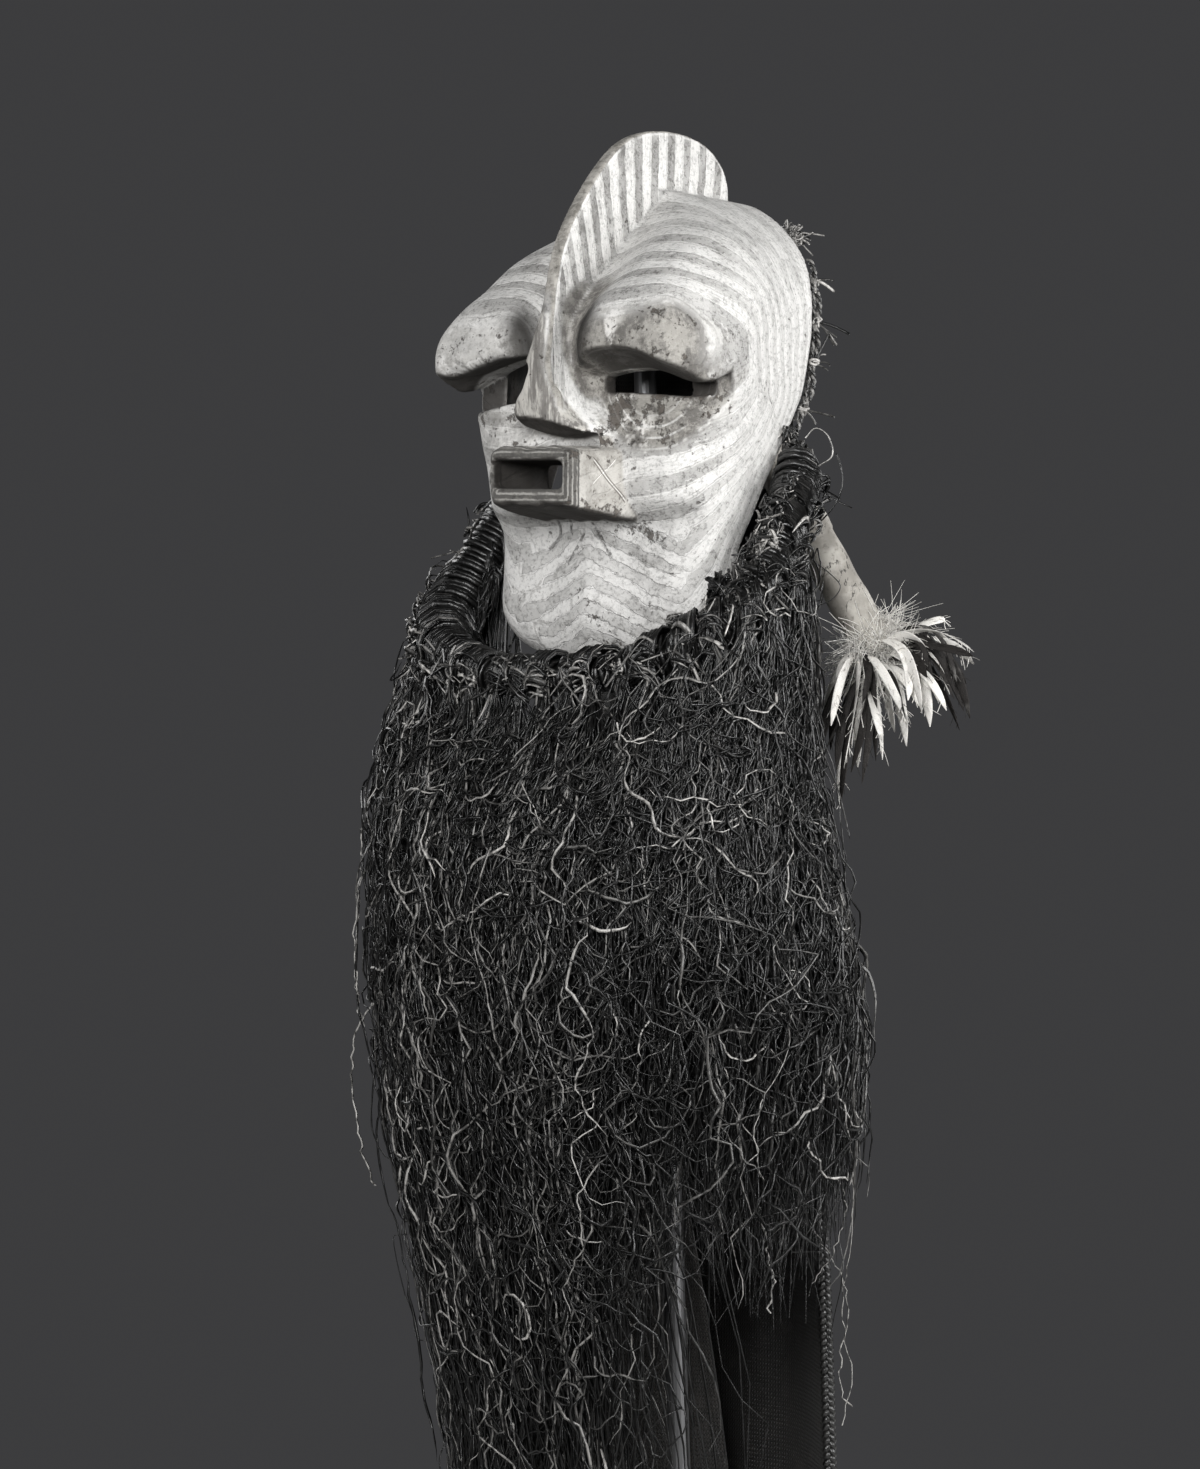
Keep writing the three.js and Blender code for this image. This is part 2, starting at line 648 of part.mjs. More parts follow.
// The cord that the cape's top hangs from, tied to both ends of the roll
const NECK_CORD = [
  [128, 14, 1262], [90, 44, 1256], [90, 86, 1247], [62, 117, 1247], [0, 128.5, 1247],
  [-62, 117, 1247], [-98, 81, 1247], [-131, 48, 1248], [-130, 24, 1256],
];

// The stick, and the tuft of feathers bound round its lower end
const STICK_TOP = new THREE.Vector3(120, 50, 1250);
const STICK_END = new THREE.Vector3(190, 112, 1080);

function stickForm() {
  return bar(
    [STICK_TOP.toArray(), [153, 74, 1172], STICK_END.toArray()],
    [STICK_RADIUS - 3, STICK_RADIUS - 1, STICK_RADIUS, STICK_RADIUS - 1],
    8,
    14,
  );
}

// A cuff of down open round the stick, with long feathers springing from it
function tuftForm() {
  const axis = STICK_END.clone().sub(STICK_TOP).normalize();
  const turn = new THREE.Quaternion().setFromUnitVectors(new THREE.Vector3(0, 0, 1), axis);
  const place = (distance) => STICK_END.clone().addScaledVector(axis, distance);
  const cuffProfile = [
    [23.2, -24], [34, -22], [46, -4], [44, 14], [30, 26], [0, 30], [0, 1.2], [23.2, 1.2], [23.2, -24],
  ];
  const cuff = new THREE.LatheGeometry(cuffProfile.map(([r, z]) => new THREE.Vector2(r, z)), 14);
  cuff.rotateX(Math.PI / 2);
  cuff.applyQuaternion(turn);
  cuff.translate(...STICK_END.toArray());
  let tuft = solid(cuff);
  if (tuft.volume() < 0) {
    cuff.index.array.reverse();
    tuft = solid(cuff);
  }
  for (let k = 0; k < FEATHERS; k++) {
    const round = (k / FEATHERS) * 2 * Math.PI;
    const length = 90 + 24 * Math.sin(k * 2.1);
    const spread = 0.9 + 0.45 * Math.sin(k * 1.7);
    const blade = new THREE.ConeGeometry(15, length, 5, 1);
    blade.scale(1, 1, 0.32);
    blade.translate(0, length / 2, 0);
    const outward = new THREE.Vector3(Math.cos(round), Math.sin(round), 0).applyQuaternion(turn);
    const direction = axis.clone().addScaledVector(outward, spread);
    direction.add(new THREE.Vector3(0.2, 0, 0)).normalize();
    const up = new THREE.Vector3(0, 1, 0);
    blade.applyQuaternion(new THREE.Quaternion().setFromUnitVectors(up, direction));
    blade.translate(...place(6).addScaledVector(outward, 30).toArray());
    tuft = tuft.add(solid(blade));
  }
  return geometryOf(tuft);
}

// Knotted cord that binds the rim of the head, down each side from beside the crest to the ear
const LACING = [
  [84, 108, 1506], [104, 99, 1488], [136, 78, 1440], [145, 67, 1385], [146, 51, 1326], [143, 32, 1293],
];

function lacingForm(side) {
  return bar(LACING.map(([x, y, z]) => [x * side, y, z]), [7, 6, 7, 6, 7], 15, 6);
}

// The pole's axis at a height
function poleAt(z) {
  const [x, y] = [POLE_FOOT[0] + POLE_LEAN[0] * z, POLE_FOOT[1] + POLE_LEAN[1] * z];
  return new THREE.Vector3(x, y, z);
}
const poleTurn = new THREE.Quaternion().setFromUnitVectors(
  new THREE.Vector3(0, 1, 0),
  new THREE.Vector3(POLE_LEAN[0], POLE_LEAN[1], 1).normalize(),
);

function poleForm(topZ) {
  const bottomZ = FOOT_THICKNESS + 1;
  const height = poleAt(topZ).distanceTo(poleAt(bottomZ));
  const round = 5;
  const profile = [
    [0, 0],
    [POLE_RADIUS, 0],
    [POLE_RADIUS, height - round],
    [POLE_RADIUS * 0.75, height - round / 3],
    [0, height],
  ];
  const pole = new THREE.LatheGeometry(profile.map(([r, h]) => new THREE.Vector2(r, h)), 20);
  pole.applyQuaternion(poleTurn);
  return pole.translate(...poleAt(bottomZ).toArray());
}

// The foot plate with the short socket that the pole stands in
function footForm() {
  const half = FOOT_SIZE / 2;
  const plan = new THREE.Shape();
  plan.moveTo(half, FOOT_CORNER - half);
  const corners = [[1, 1, 0], [-1, 1, 1], [-1, -1, 2], [1, -1, 3]];
  for (const [sx, sy, quarter] of corners) {
    const [x, y] = [sx * (half - FOOT_CORNER), sy * (half - FOOT_CORNER)];
    plan.absarc(x, y, FOOT_CORNER, (quarter * Math.PI) / 2, ((quarter + 1) * Math.PI) / 2);
  }
  const plateSettings = { depth: FOOT_THICKNESS, bevelEnabled: false, curveSegments: 5 };
  const plate = new THREE.ExtrudeGeometry(plan, plateSettings);
  // A cylinder whose lower end is on the pole's axis at a height
  const onPole = (radius, height, sides, z) => {
    const geometry = new THREE.CylinderGeometry(radius, radius, height, sides);
    geometry.translate(0, height / 2, 0).applyQuaternion(poleTurn);
    return solid(geometry.translate(...poleAt(z).toArray()));
  };
  const bore = POLE_RADIUS + FIT_GAP;
  const tube = onPole(bore + SOCKET_WALL, SOCKET_HEIGHT, 20, FOOT_THICKNESS - 3);
  const hole = onPole(bore, 120, 16, FOOT_THICKNESS + 0.5);
  return geometryOf(solid(plate).add(tube).subtract(hole));
}

const model = new THREE.Group();
function add(name, geometry, finish) {
  const mesh = new THREE.Mesh(geometry, new THREE.MeshStandardMaterial(finish));
  mesh.name = name;
  model.add(mesh);
}

add("carved_mask", geometryOf(carvedHead()), paint);
add("raffia_roll", bar(ROLL_PATH, ROLL_RADII, 28, 8), raffia);
for (let i = 0; i < BUNCH_COUNT; i++) {
  add(`raffia_bunch_${String(i + 1).padStart(2, "0")}`, bunchForm(i), raffia);
}
add("rim_lacing_left", lacingForm(1), raffia);
add("rim_lacing_right", lacingForm(-1), raffia);
add("knitted_cape", capeForm(), knit);
add("cape_edge_braid", capeEdgeForm(), knit);
add("neck_cord", bar(NECK_CORD, [6, 6, 6], 22, 5), raffia);
add("feather_stick", stickForm(), hide);
add("feather_tuft", tuftForm(), feather);
add("stand_pole", poleForm(POLE_TOP_Z), steel);
add("stand_foot", footForm(), steel);

export default model;
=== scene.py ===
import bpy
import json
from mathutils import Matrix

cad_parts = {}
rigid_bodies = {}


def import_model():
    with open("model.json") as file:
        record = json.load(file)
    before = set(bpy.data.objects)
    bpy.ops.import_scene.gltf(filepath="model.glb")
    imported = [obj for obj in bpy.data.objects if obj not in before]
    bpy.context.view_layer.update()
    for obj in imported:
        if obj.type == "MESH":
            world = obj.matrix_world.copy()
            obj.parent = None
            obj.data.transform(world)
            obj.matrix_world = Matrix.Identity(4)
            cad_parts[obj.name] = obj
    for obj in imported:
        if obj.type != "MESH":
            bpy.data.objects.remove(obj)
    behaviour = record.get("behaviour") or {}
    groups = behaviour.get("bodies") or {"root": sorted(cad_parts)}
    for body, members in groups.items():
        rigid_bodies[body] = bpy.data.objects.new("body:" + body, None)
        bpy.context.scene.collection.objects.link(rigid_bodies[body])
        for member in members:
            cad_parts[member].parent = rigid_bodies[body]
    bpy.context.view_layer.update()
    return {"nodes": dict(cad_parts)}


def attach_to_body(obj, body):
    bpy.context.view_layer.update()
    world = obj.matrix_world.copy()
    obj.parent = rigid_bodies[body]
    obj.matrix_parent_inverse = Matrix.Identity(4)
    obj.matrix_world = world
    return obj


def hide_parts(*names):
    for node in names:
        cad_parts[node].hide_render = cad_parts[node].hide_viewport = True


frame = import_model()

# %% [markdown]
# # A kilume mask in its raffia costume, on a pole stand
# The head is one piece of soft wood, carved hollow and painted with white clay and grey bands.
# A roll wound with raffia hangs round the chin and carries the fringe, a knitted cape hangs behind,
# and a stick with a tuft of down is tied in at the left ear.
# The frame holds the true sizes, so every piece here is worked out from the same driving sizes.
# They are written in millimetres, as a carver would measure them, and become metres in the mesh.

# %% Tools and units
import json
import math

import bmesh
import bpy
import numpy as np
from mathutils import Vector

MM = 0.001
shake = np.random.default_rng(11)


def smooth_step(value, low, high):
    """0 below low, 1 above high, and a soft rise between them"""
    part = np.clip((value - low) / (high - low), 0, 1)
    return part * part * (3 - 2 * part)


def fade(value, low, high):
    """1 below low, 0 above high, and a soft fall between them"""
    return 1 - smooth_step(value, low, high)


def mix(a, b, share):
    return a + (b - a) * share


def unit(vectors):
    """Vectors shortened or stretched to a length of 1"""
    return vectors / np.linalg.norm(vectors, axis=-1, keepdims=True)


def placed(name, data):
    """A new object in the scene, at its origin"""
    made = bpy.data.objects.new(name, data)
    bpy.context.scene.collection.objects.link(made)
    return made


def from_bmesh(name, work):
    """A new object from a bmesh, which is then let go"""
    mesh = bpy.data.meshes.new(name)
    work.to_mesh(mesh)
    work.free()
    return placed(name, mesh)


# %% [markdown]
# ## Camera and light
# The photograph was taken level, from the wearer's left front, with a long lens.
# The camera stands 38 degrees round from the face and 3.5 metres away, a little below the chin.
# The key lamp is soft and stands close beside the camera, so the chin and the cheek are both bright.
# A second one stands on the face's side, and weaker ones keep the back and the raffia readable.

# %% Camera
VIEW_ANGLE = math.radians(38)
VIEW_DISTANCE = 3.5
VIEW_HEIGHT = 0.995
VIEW_SIDESTEP = 0.055
IMAGE_HEIGHT = 1469
FOCAL_PIXELS = 3500
SENSOR = 36.0

toward_camera = Vector((math.sin(VIEW_ANGLE), -math.cos(VIEW_ANGLE), 0))
camera_right = Vector((math.cos(VIEW_ANGLE), math.sin(VIEW_ANGLE), 0))
camera_data = bpy.data.cameras.new("photographer")
camera_data.sensor_width = SENSOR
camera_data.lens = SENSOR * FOCAL_PIXELS / IMAGE_HEIGHT
camera = placed("photographer", camera_data)
camera.location = toward_camera * VIEW_DISTANCE - camera_right * VIEW_SIDESTEP + Vector((0, 0, VIEW_HEIGHT))
camera.rotation_euler = (-toward_camera).to_track_quat("-Z", "Y").to_euler()
bpy.context.scene.camera = camera
print("the lens is", round(camera_data.lens, 1), "mm")


# %% Lamps
def lamp(name, place, aim, width, height, watts):
    """A soft rectangular lamp that looks from its place at a point"""
    data = bpy.data.lights.new(name, "AREA")
    data.shape = "RECTANGLE"
    data.size, data.size_y = width, height
    data.energy = watts
    made = placed(name, data)
    made.location = place
    made.rotation_euler = (Vector(aim) - Vector(place)).to_track_quat("-Z", "Y").to_euler()


def from_camera(right, toward, height):
    """A place in the room, given in metres to the right of the object, toward the camera and up"""
    return camera_right * right + toward_camera * toward + Vector((0, 0, height))


MASK_MIDDLE = (0, -0.05, 1.3)
SKIRT_MIDDLE = (0, -0.03, 0.75)
BACKDROP = (0.046, 0.046, 0.048)
lamp("key", from_camera(-0.4, 2.2, 1.6), MASK_MIDDLE, 0.6, 0.7, 46)
lamp("face_side", from_camera(1.8, 1.4, 1.8), MASK_MIDDLE, 0.5, 0.7, 25)
lamp("skirt_side", from_camera(1.9, 1.1, 1.15), SKIRT_MIDDLE, 0.5, 1.4, 26)
lamp("left_fill", from_camera(-2.2, 1.4, 1.7), MASK_MIDDLE, 1.2, 1.6, 12)
lamp("back_left", from_camera(-1.6, -2.0, 1.9), SKIRT_MIDDLE, 1.2, 1.4, 22)
lamp("back_right", from_camera(1.9, -1.6, 1.7), SKIRT_MIDDLE, 1.0, 1.4, 16)

world = bpy.data.worlds.new("studio")
world.use_nodes = True
world.node_tree.nodes["Background"].inputs["Color"].default_value = (*BACKDROP, 1)
world.node_tree.nodes["Background"].inputs["Strength"].default_value = 1.0
bpy.context.scene.world = world
bpy.context.scene.view_settings.view_transform = "Standard"
print("lamps:", len(bpy.data.lights))

# %% [markdown]
# ## Writing finishes as sums
# A finish is a small graph of nodes. Here a socket is wrapped in a class with Python's operators,
# so that a pattern can be read as a formula, and one method makes every other kind of node.


# %% The finish class
class Signal:
    """A number, colour or vector on its way through a finish"""

    def __init__(self, finish, socket):
        self.finish = finish
        self.socket = socket

    def math(self, operation, *others, first=None):
        values = [self, *others] if first is None else [first, self]
        sockets = dict(enumerate(values))
        return self.finish.node("ShaderNodeMath", {"operation": operation}, sockets)

    def __add__(self, other):
        return self.math("ADD", other)

    def __radd__(self, other):
        return self.math("ADD", other)

    def __sub__(self, other):
        return self.math("SUBTRACT", other)

    def __rsub__(self, other):
        return self.math("SUBTRACT", first=other)

    def __mul__(self, other):
        return self.math("MULTIPLY", other)

    def __rmul__(self, other):
        return self.math("MULTIPLY", other)

    def __truediv__(self, other):
        return self.math("DIVIDE", other)

    def __abs__(self):
        return self.math("ABSOLUTE")

    def above(self, low, high):
        """0 below low, 1 above high, smooth between"""
        settings = {"interpolation_type": "SMOOTHSTEP"}
        sockets = {"Value": self, "From Min": low, "From Max": high}
        return self.finish.node("ShaderNodeMapRange", settings, sockets)

    def below(self, low, high):
        return 1 - self.above(low, high)

    def part(self):
        """What is left after the whole numbers"""
        return self.math("FRACT")

    def highest(self, other):
        return self.math("MAXIMUM", other)


class Finish:
    """A procedural material around one Principled shader"""

    def __init__(self, name, **constants):
        self.material = bpy.data.materials.new(name)
        self.material.use_nodes = True
        self.tree = self.material.node_tree
        self.shader = self.tree.nodes["Principled BSDF"]
        for socket, value in constants.items():
            self.shader.inputs[socket.replace("_", " ")].default_value = value

    def node(self, kind, settings=None, sockets=None, out=0):
        made = self.tree.nodes.new(kind)
        for key, value in (settings or {}).items():
            setattr(made, key, value)
        for key, value in (sockets or {}).items():
            if isinstance(value, Signal):
                self.tree.links.new(value.socket, made.inputs[key])
            else:
                made.inputs[key].default_value = value
        return Signal(self, made.outputs[out])

    def place(self, stretch):
        """The point's own coordinates on the object, stretched along each axis"""
        point = self.node("ShaderNodeTexCoord", out="Object")
        return self.node("ShaderNodeMapping", {"vector_type": "POINT"}, {"Vector": point, "Scale": stretch})

    def axes(self, source="Object"):
        """The parts of a coordinate as three signals: on the object in metres, or on its UV map"""
        point = self.node("ShaderNodeTexCoord", out=source)
        return [self.node("ShaderNodeSeparateXYZ", {}, {0: point}, out=axis) for axis in range(3)]

    def attribute(self, name):
        return self.node("ShaderNodeAttribute", {"attribute_name": name}, out="Fac")

    def noise(self, scale, detail=4, rough=0.55, stretch=(1, 1, 1)):
        sockets = {"Vector": self.place(stretch), "Scale": scale, "Detail": detail, "Roughness": rough}
        return self.node("ShaderNodeTexNoise", {}, sockets)

    def blend(self, share, first, second):
        """The first colour where share is 0, the second where it is 1"""
        mixer = self.tree.nodes.new("ShaderNodeMix")
        mixer.data_type = "RGBA"
        colour_inputs = [socket for socket in mixer.inputs if socket.type == "RGBA"]
        for socket, value in zip((mixer.inputs[0], *colour_inputs), (share, first, second)):
            if isinstance(value, Signal):
                self.tree.links.new(value.socket, socket)
            elif isinstance(value, tuple):
                socket.default_value = (*value, 1)
            else:
                socket.default_value = value
        return Signal(self, [socket for socket in mixer.outputs if socket.type == "RGBA"][0])

    def feed(self, **signals):
        for socket, signal in signals.items():
            self.tree.links.new(signal.socket, self.shader.inputs[socket.replace("_", " ")])

    def bump(self, height, depth):
        """Raises the surface by height times depth, in metres"""
        sockets = {"Height": height, "Distance": depth, "Strength": 1.0}
        self.feed(Normal=self.node("ShaderNodeBump", {}, sockets))


# %% [markdown]
# ## The carved head
# The real head is adzed and scraped from one block, so its planes are smooth but its edges are soft.
# It could be sculpted, but its sizes are known as sections: rows of height, half width and depth.
# So a copy of the frame's solid is remeshed evenly, and each point is then drawn onto the surface
# that the sections describe, where joins are rounded as a scraper leaves them.

# %% Sections of the head
# height, half width, front, middle and squareness of each level section
BROW_ROWS = [
    (1541, 6, 8, 112, 3), (1532, 42, 1, 108, 3), (1515, 76, -20, 100, 3.4), (1491, 107, -47, 90, 3.8),
    (1465, 130, -75, 80, 4.2), (1435, 145, -107, 68, 4.8), (1410, 150, -133, 62, 5),
    (1386, 152.5, -146, 57, 5),
    (1350, 153, -143, 47, 5.6), (1325, 150, -135, 42, 5), (1290, 138, -110, 34, 5),
]
FACE_ROWS = [
    (1400, 145, -120, 60, 6), (1350, 152.2, -127, 47, 6), (1326, 151.5, -127, 38, 8),
    (1300, 148.5, -124, 29, 7.5), (1265, 144.5, -130, 10, 5),
    (1235, 141, -129, -8, 4.4), (1220, 140.5, -125, -15, 4.2), (1206, 140, -110, -23, 4),
    (1192, 139, -102, -31, 3.8), (1150, 136, -103, -54, 3.2), (1120, 131, -108, -62, 3.2),
    (1100, 120, -107, -64, 3), (1084, 101, -102, -65, 2.8), (1071, 68, -92, -66, 2.6),
    (1062, 8, -80, -67, 2.4),
]
HOLLOW_ROWS = [
    (1521, 8, 14, 112, 3), (1508, 50, 4, 108, 3), (1488, 80, -18, 98, 3.2), (1462, 106, -46, 86, 3.6),
    (1435, 125, -74, 72, 4.2), (1405, 133, -100, 64, 4.6), (1345, 137, -107, 46, 5),
    (1290, 132, -107, 24, 5), (1235, 126, -106, -8, 4.5), (1195, 123, -85, -30, 4),
    (1150, 118, -86, -54, 3.4), (1120, 114, -91, -62, 3.2), (1102, 98, -88, -64, 3),
    (1088, 74, -83, -65, 2.8), (1078, 38, -77, -66, 2.6), (1074, 6, -74, -67, 2.4),
]
# the rim that the head is cut back to, as height and y
RIM = [
    (1620, 117), (1540, 117), (1520, 102), (1488, 88), (1435, 67), (1384, 56), (1323, 39),
    (1283, 18), (1233, -10), (1177, -43), (1124, -60), (1076, -66), (1040, -66),
]
# the nose: height, left and right edge of its flat front, front y, and the width of its flanks
NOSE_ROWS = [
    (1440, -6, 5, -158, 3), (1412, -10, 6, -167, 8), (1385, -15, 4, -175, 12),
    (1360, -22, 2, -178, 14), (1330, -34, 1, -179, 18), (1312, -44, 6, -178, 18),
    (1302, -54, 19, -176, 15), (1293, -58, 33, -174, 11), (1280, -58, 33, -174, 11),
]
NOSE_TILT = 0.16
# the crest's outline in the side view, as y and height
CREST_EDGE = [
    (-172, 1330), (-177, 1352), (-174, 1378), (-170, 1407), (-165, 1436), (-157, 1462), (-144, 1487),
    (-125, 1514), (-103, 1540), (-83, 1560), (-62, 1577), (-38, 1589), (-8, 1597), (32, 1600),
    (68, 1596), (92, 1586), (108, 1572), (116, 1556),
]
CREST_ROOT = [(125, 1546), (125, 1528), (10, 1526), (-58, 1470), (-112, 1415), (-132, 1380), (-134, 1330)]
CREST_HALF = 7.5
LID_CENTRE = (92, -114, 1362)
LID_HALF = (61, 64, 51)
LID_DROP = 90
MOUTH_TILT = 0.05
# the mouth box: y, half width, top and bottom
MOUTH_ROWS = [
    (-199, 52, 1270, 1214), (-172, 54, 1271, 1211), (-140, 60, 1273, 1207), (-114, 64, 1275, 1204),
]
MOUTH_HOLE = {"left": -48, "right": 38, "top": 1257, "bottom": 1230}
print("the head is drawn from", len(BROW_ROWS) + len(FACE_ROWS) + len(HOLLOW_ROWS), "sections")


# %% Reading the sections
def at_height(rows, height):
    """Each column of the rows at a height, on a smooth curve, for an array of heights"""
    rows = np.array(rows, float)
    last = len(rows) - 1
    t = np.clip(height, rows[last, 0], rows[0, 0])
    i = np.minimum((rows[None, 1:, 0] > t[:, None]).sum(1), last - 1)
    before, a, b, after = rows[np.maximum(i - 1, 0)], rows[i], rows[i + 1], rows[np.minimum(i + 2, last)]
    span = (b[:, :1] - a[:, :1])
    u = (t[:, None] - a[:, :1]) / span
    slope_in = (b - before)[:, 1:] / (b - before)[:, :1] * span
    slope_out = (after - a)[:, 1:] / (after - a)[:, :1] * span
    to_b = 3 * u**2 - 2 * u**3
    bend = (u - 2 * u**2 + u**3) * slope_in + (u**3 - u**2) * slope_out
    return ((1 - to_b) * a[:, 1:] + to_b * b[:, 1:] + bend).T


def join(a, b, width):
    """The nearer of two surfaces, with a rounded valley between them"""
    share = np.clip(0.5 + 0.5 * (b - a) / width, 0, 1)
    return mix(b, a, share) - width * share * (1 - share)


def cut(a, b, width):
    """Surface a with what b covers cut away, its new edge rounded"""
    return -join(-a, b, width)


def head_shell(rows, x, y, z):
    """How far points are outside a head of the given sections, in millimetres"""
    half, front, middle, square = at_height(rows, z)
    depth = middle - front
    reach = (np.abs(x / half) ** square + np.abs((y - middle) / depth) ** square) ** (1 / square)
    over = np.maximum(np.maximum(z - rows[0][0], rows[-1][0] - z), 0)
    return (reach - 1) * np.minimum(half, depth) + over * 3


def dome(x, y, z):
    """The twin domes of the brow"""
    across = smooth_step(np.abs(x), 8, 78) * (1 - 0.5 * smooth_step(np.abs(x), 105, 150))
    upright = smooth_step(z, 1370, 1425) * fade(z, 1455, 1535)
    return 22 * across * smooth_step(35 - y, 0, 90) * upright


def keel(x, z):
    """The upright keel of the chin"""
    across = np.maximum(0, 1 - np.abs(x) / 50)
    return 8 * across * smooth_step(1212 - z, 0, 20) * smooth_step(z, 1076, 1110)


def lid_shell(x, y, z):
    """The bulging lids, as wide bars that run back into the temples"""
    across = (np.abs(x) - LID_CENTRE[0]) / LID_HALF[0]
    ahead = (y - LID_CENTRE[1]) / LID_HALF[1]
    above = z - LID_CENTRE[2]
    rise = np.where(above > 0, above / LID_HALF[2], -above / LID_DROP)
    plan = np.abs(across) ** 4.5 + np.abs(ahead) ** 4.5
    return ((plan ** (2.3 / 4.5) + rise**2.3) ** (1 / 2.3) - 1) * LID_HALF[2]


def lid_underside(x, y):
    """The height where the lids are cut off from below: the wearer's right lid droops lower in front"""
    across = np.abs(x)
    left_lip = 1358 + 3 * smooth_step(across, 30, 70) - 15 * smooth_step(across, 85, 150)
    right_lip = 1359 - 15 * smooth_step(across, 45, 140)
    slope = np.where(x > 0, 0.34, -0.12)
    front = np.where(x > 0, left_lip, right_lip) - slope * np.clip(y + 176, 0, 48)
    side_y = [-180, -153, -122, -104, -86, -76, 0]
    side = np.interp(y, side_y, [1346, 1337, 1328, 1331, 1340, 1310, 1310])
    raised = np.where(x < 0, 8 * smooth_step(-x, 90, 130), 0)
    return mix(front, side + raised, smooth_step(across, 118, 152))


def stroke_distance(y, z, first, last):
    """The distance to a straight stroke between two places"""
    (ay, az), (by, bz) = first, last
    wide, high = by - ay, bz - az
    along = np.clip(((y - ay) * wide + (z - az) * high) / (wide**2 + high**2), 0, 1)
    return np.hypot(y - ay - along * wide, z - az - along * high)


def outline_distance(points, y, z):
    """The distance to a closed outline in the side view, negative inside it"""
    ends = np.array(points, float)
    nearest = np.full(len(y), 1e9)
    inside = np.zeros(len(y), bool)
    for (ay, az), (by, bz) in zip(ends, np.roll(ends, -1, axis=0)):
        nearest = np.minimum(nearest, stroke_distance(y, z, (ay, az), (by, bz)))
        crosses = (az > z) != (bz > z)
        with np.errstate(divide="ignore", invalid="ignore"):
            inside ^= crosses & (y < ay + (z - az) * (by - ay) / (bz - az))
    return np.where(inside, -nearest, nearest)


def rounded(points, steps):
    """The corners of an open outline drawn over with a smooth curve"""
    knots = np.array([points[0], *points, points[-1]], float)
    made = []
    for a, b, c, d in zip(knots, knots[1:], knots[2:], knots[3:]):
        for t in np.arange(steps) / steps:
            bent = (2 * a - 5 * b + 4 * c - d) * t**2 + (3 * b - a - 3 * c + d) * t**3
            made.append(0.5 * (2 * b + (c - a) * t + bent))
    return [*made, knots[-1]]


CREST_OUTLINE = [*rounded(CREST_EDGE, 3), *CREST_ROOT]
print("the crest's outline has", len(CREST_OUTLINE), "points")


# %% The forms that the head is made of
def nose_form(x, y, z):
    level = z + NOSE_TILT * x
    rows = np.array(NOSE_ROWS, float)[::-1]
    left, right, front, flank = (np.interp(level, rows[:, 0], rows[:, k]) for k in (1, 2, 3, 4))
    middle = (left + right) / 2
    across = np.abs(x - middle) / ((right - left) / 2)
    beside = np.maximum(np.abs(x - middle) - (right - left) / 2, 0)
    surface = front + 5 * np.minimum(across, 1) ** 3 + 40 * np.clip(beside / flank, 0, 1.6) ** 1.2
    hollow = 1 - np.clip(across, 0, 1) ** 2
    bottom = 1291 + (5 - 13 * smooth_step(y, -176, -140)) * hollow
    body = cut((surface - y) * 0.62, level - bottom, 3)
    return np.maximum(np.maximum(body, beside - 1.3 * flank), level - 1440)


def mouth_form(x, y, z):
    level = z + MOUTH_TILT * x
    rows = np.array(MOUTH_ROWS, float)
    half, top, bottom = (np.interp(y, rows[:, 0], rows[:, k]) for k in (1, 2, 3))
    upright = np.maximum(level - top, bottom - level)
    carved = 1.4 * np.sin(x * 0.13 + 1.7) * np.sin(z * 0.17) + 0.8 * np.sin(x * 0.31 + z * 0.23)
    sides = -join(-(np.abs(x) - half), -upright, 9) + carved
    return -join(-sides, -(rows[0, 0] - y), 7)


def mouth_opening(x, y, z):
    level = z + MOUTH_TILT * x
    hole = MOUTH_HOLE
    across = np.maximum(hole["left"] - x, x - hole["right"])
    upright = np.maximum(hole["bottom"] - level, level - hole["top"])
    return np.maximum(-join(-across, -upright, 7), y + 85)


def slit(x, y, z):
    """The notch that leaves the eye slit open under the lid"""
    across = np.abs(x)
    floor = np.interp(across, [36, 60, 100, 125, 140, 151], [1326, 1324, 1320, 1317, 1318, 1325])
    sides = np.maximum(np.maximum(36 - across, across - 157), np.maximum(y + 94.5, floor - z))
    return np.maximum(sides, z - 1390)


def rim_at(z):
    """How far back the head's open rim is at a height"""
    rows = np.array(RIM[::-1], float)
    return np.interp(z, rows[:, 0], rows[:, 1])


def head_forms(x, y, z):
    """Each form of the head as a distance, negative inside it"""
    hump = dome(x, y, z)
    return {
        "brow": join(head_shell(BROW_ROWS, x, y, z) - hump, lid_shell(x, y, z), 30),
        "under": lid_underside(x, y) - z,
        "cheek": head_shell(FACE_ROWS, x, y, z) - keel(x, z),
        "slit": slit(x, y, z),
        "crest": -join(-(np.abs(x) - CREST_HALF), -outline_distance(CREST_OUTLINE, y, z), 1.5),
        "nose": nose_form(x, y, z),
        "mouth": mouth_form(x, y, z),
        "opening": mouth_opening(x, y, z),
        "hollow": head_shell(HOLLOW_ROWS, x, y, z) - hump,
        "behind": (rim_at(z) - y) * 0.9,
    }


def head_surface(forms):
    lids = -join(-forms["brow"], -forms["under"], 5)
    cheeks = cut(forms["cheek"], forms["slit"], 3)
    body = join(lids, cheeks, 2.5)
    body = join(body, forms["crest"], 2.5)
    body = join(body, forms["nose"], 4)
    body = join(body, forms["mouth"], 3)
    body = cut(body, forms["hollow"], 4)
    body = cut(body, forms["opening"], 4)
    return cut(body, forms["behind"], 4)


# %% [markdown]
# The frame's solid is coarse, so it is remeshed evenly first, and then each vertex is drawn onto the
# forms. Sculpting by hand would lose the true sizes, and a subdivision surface would round the edges off.

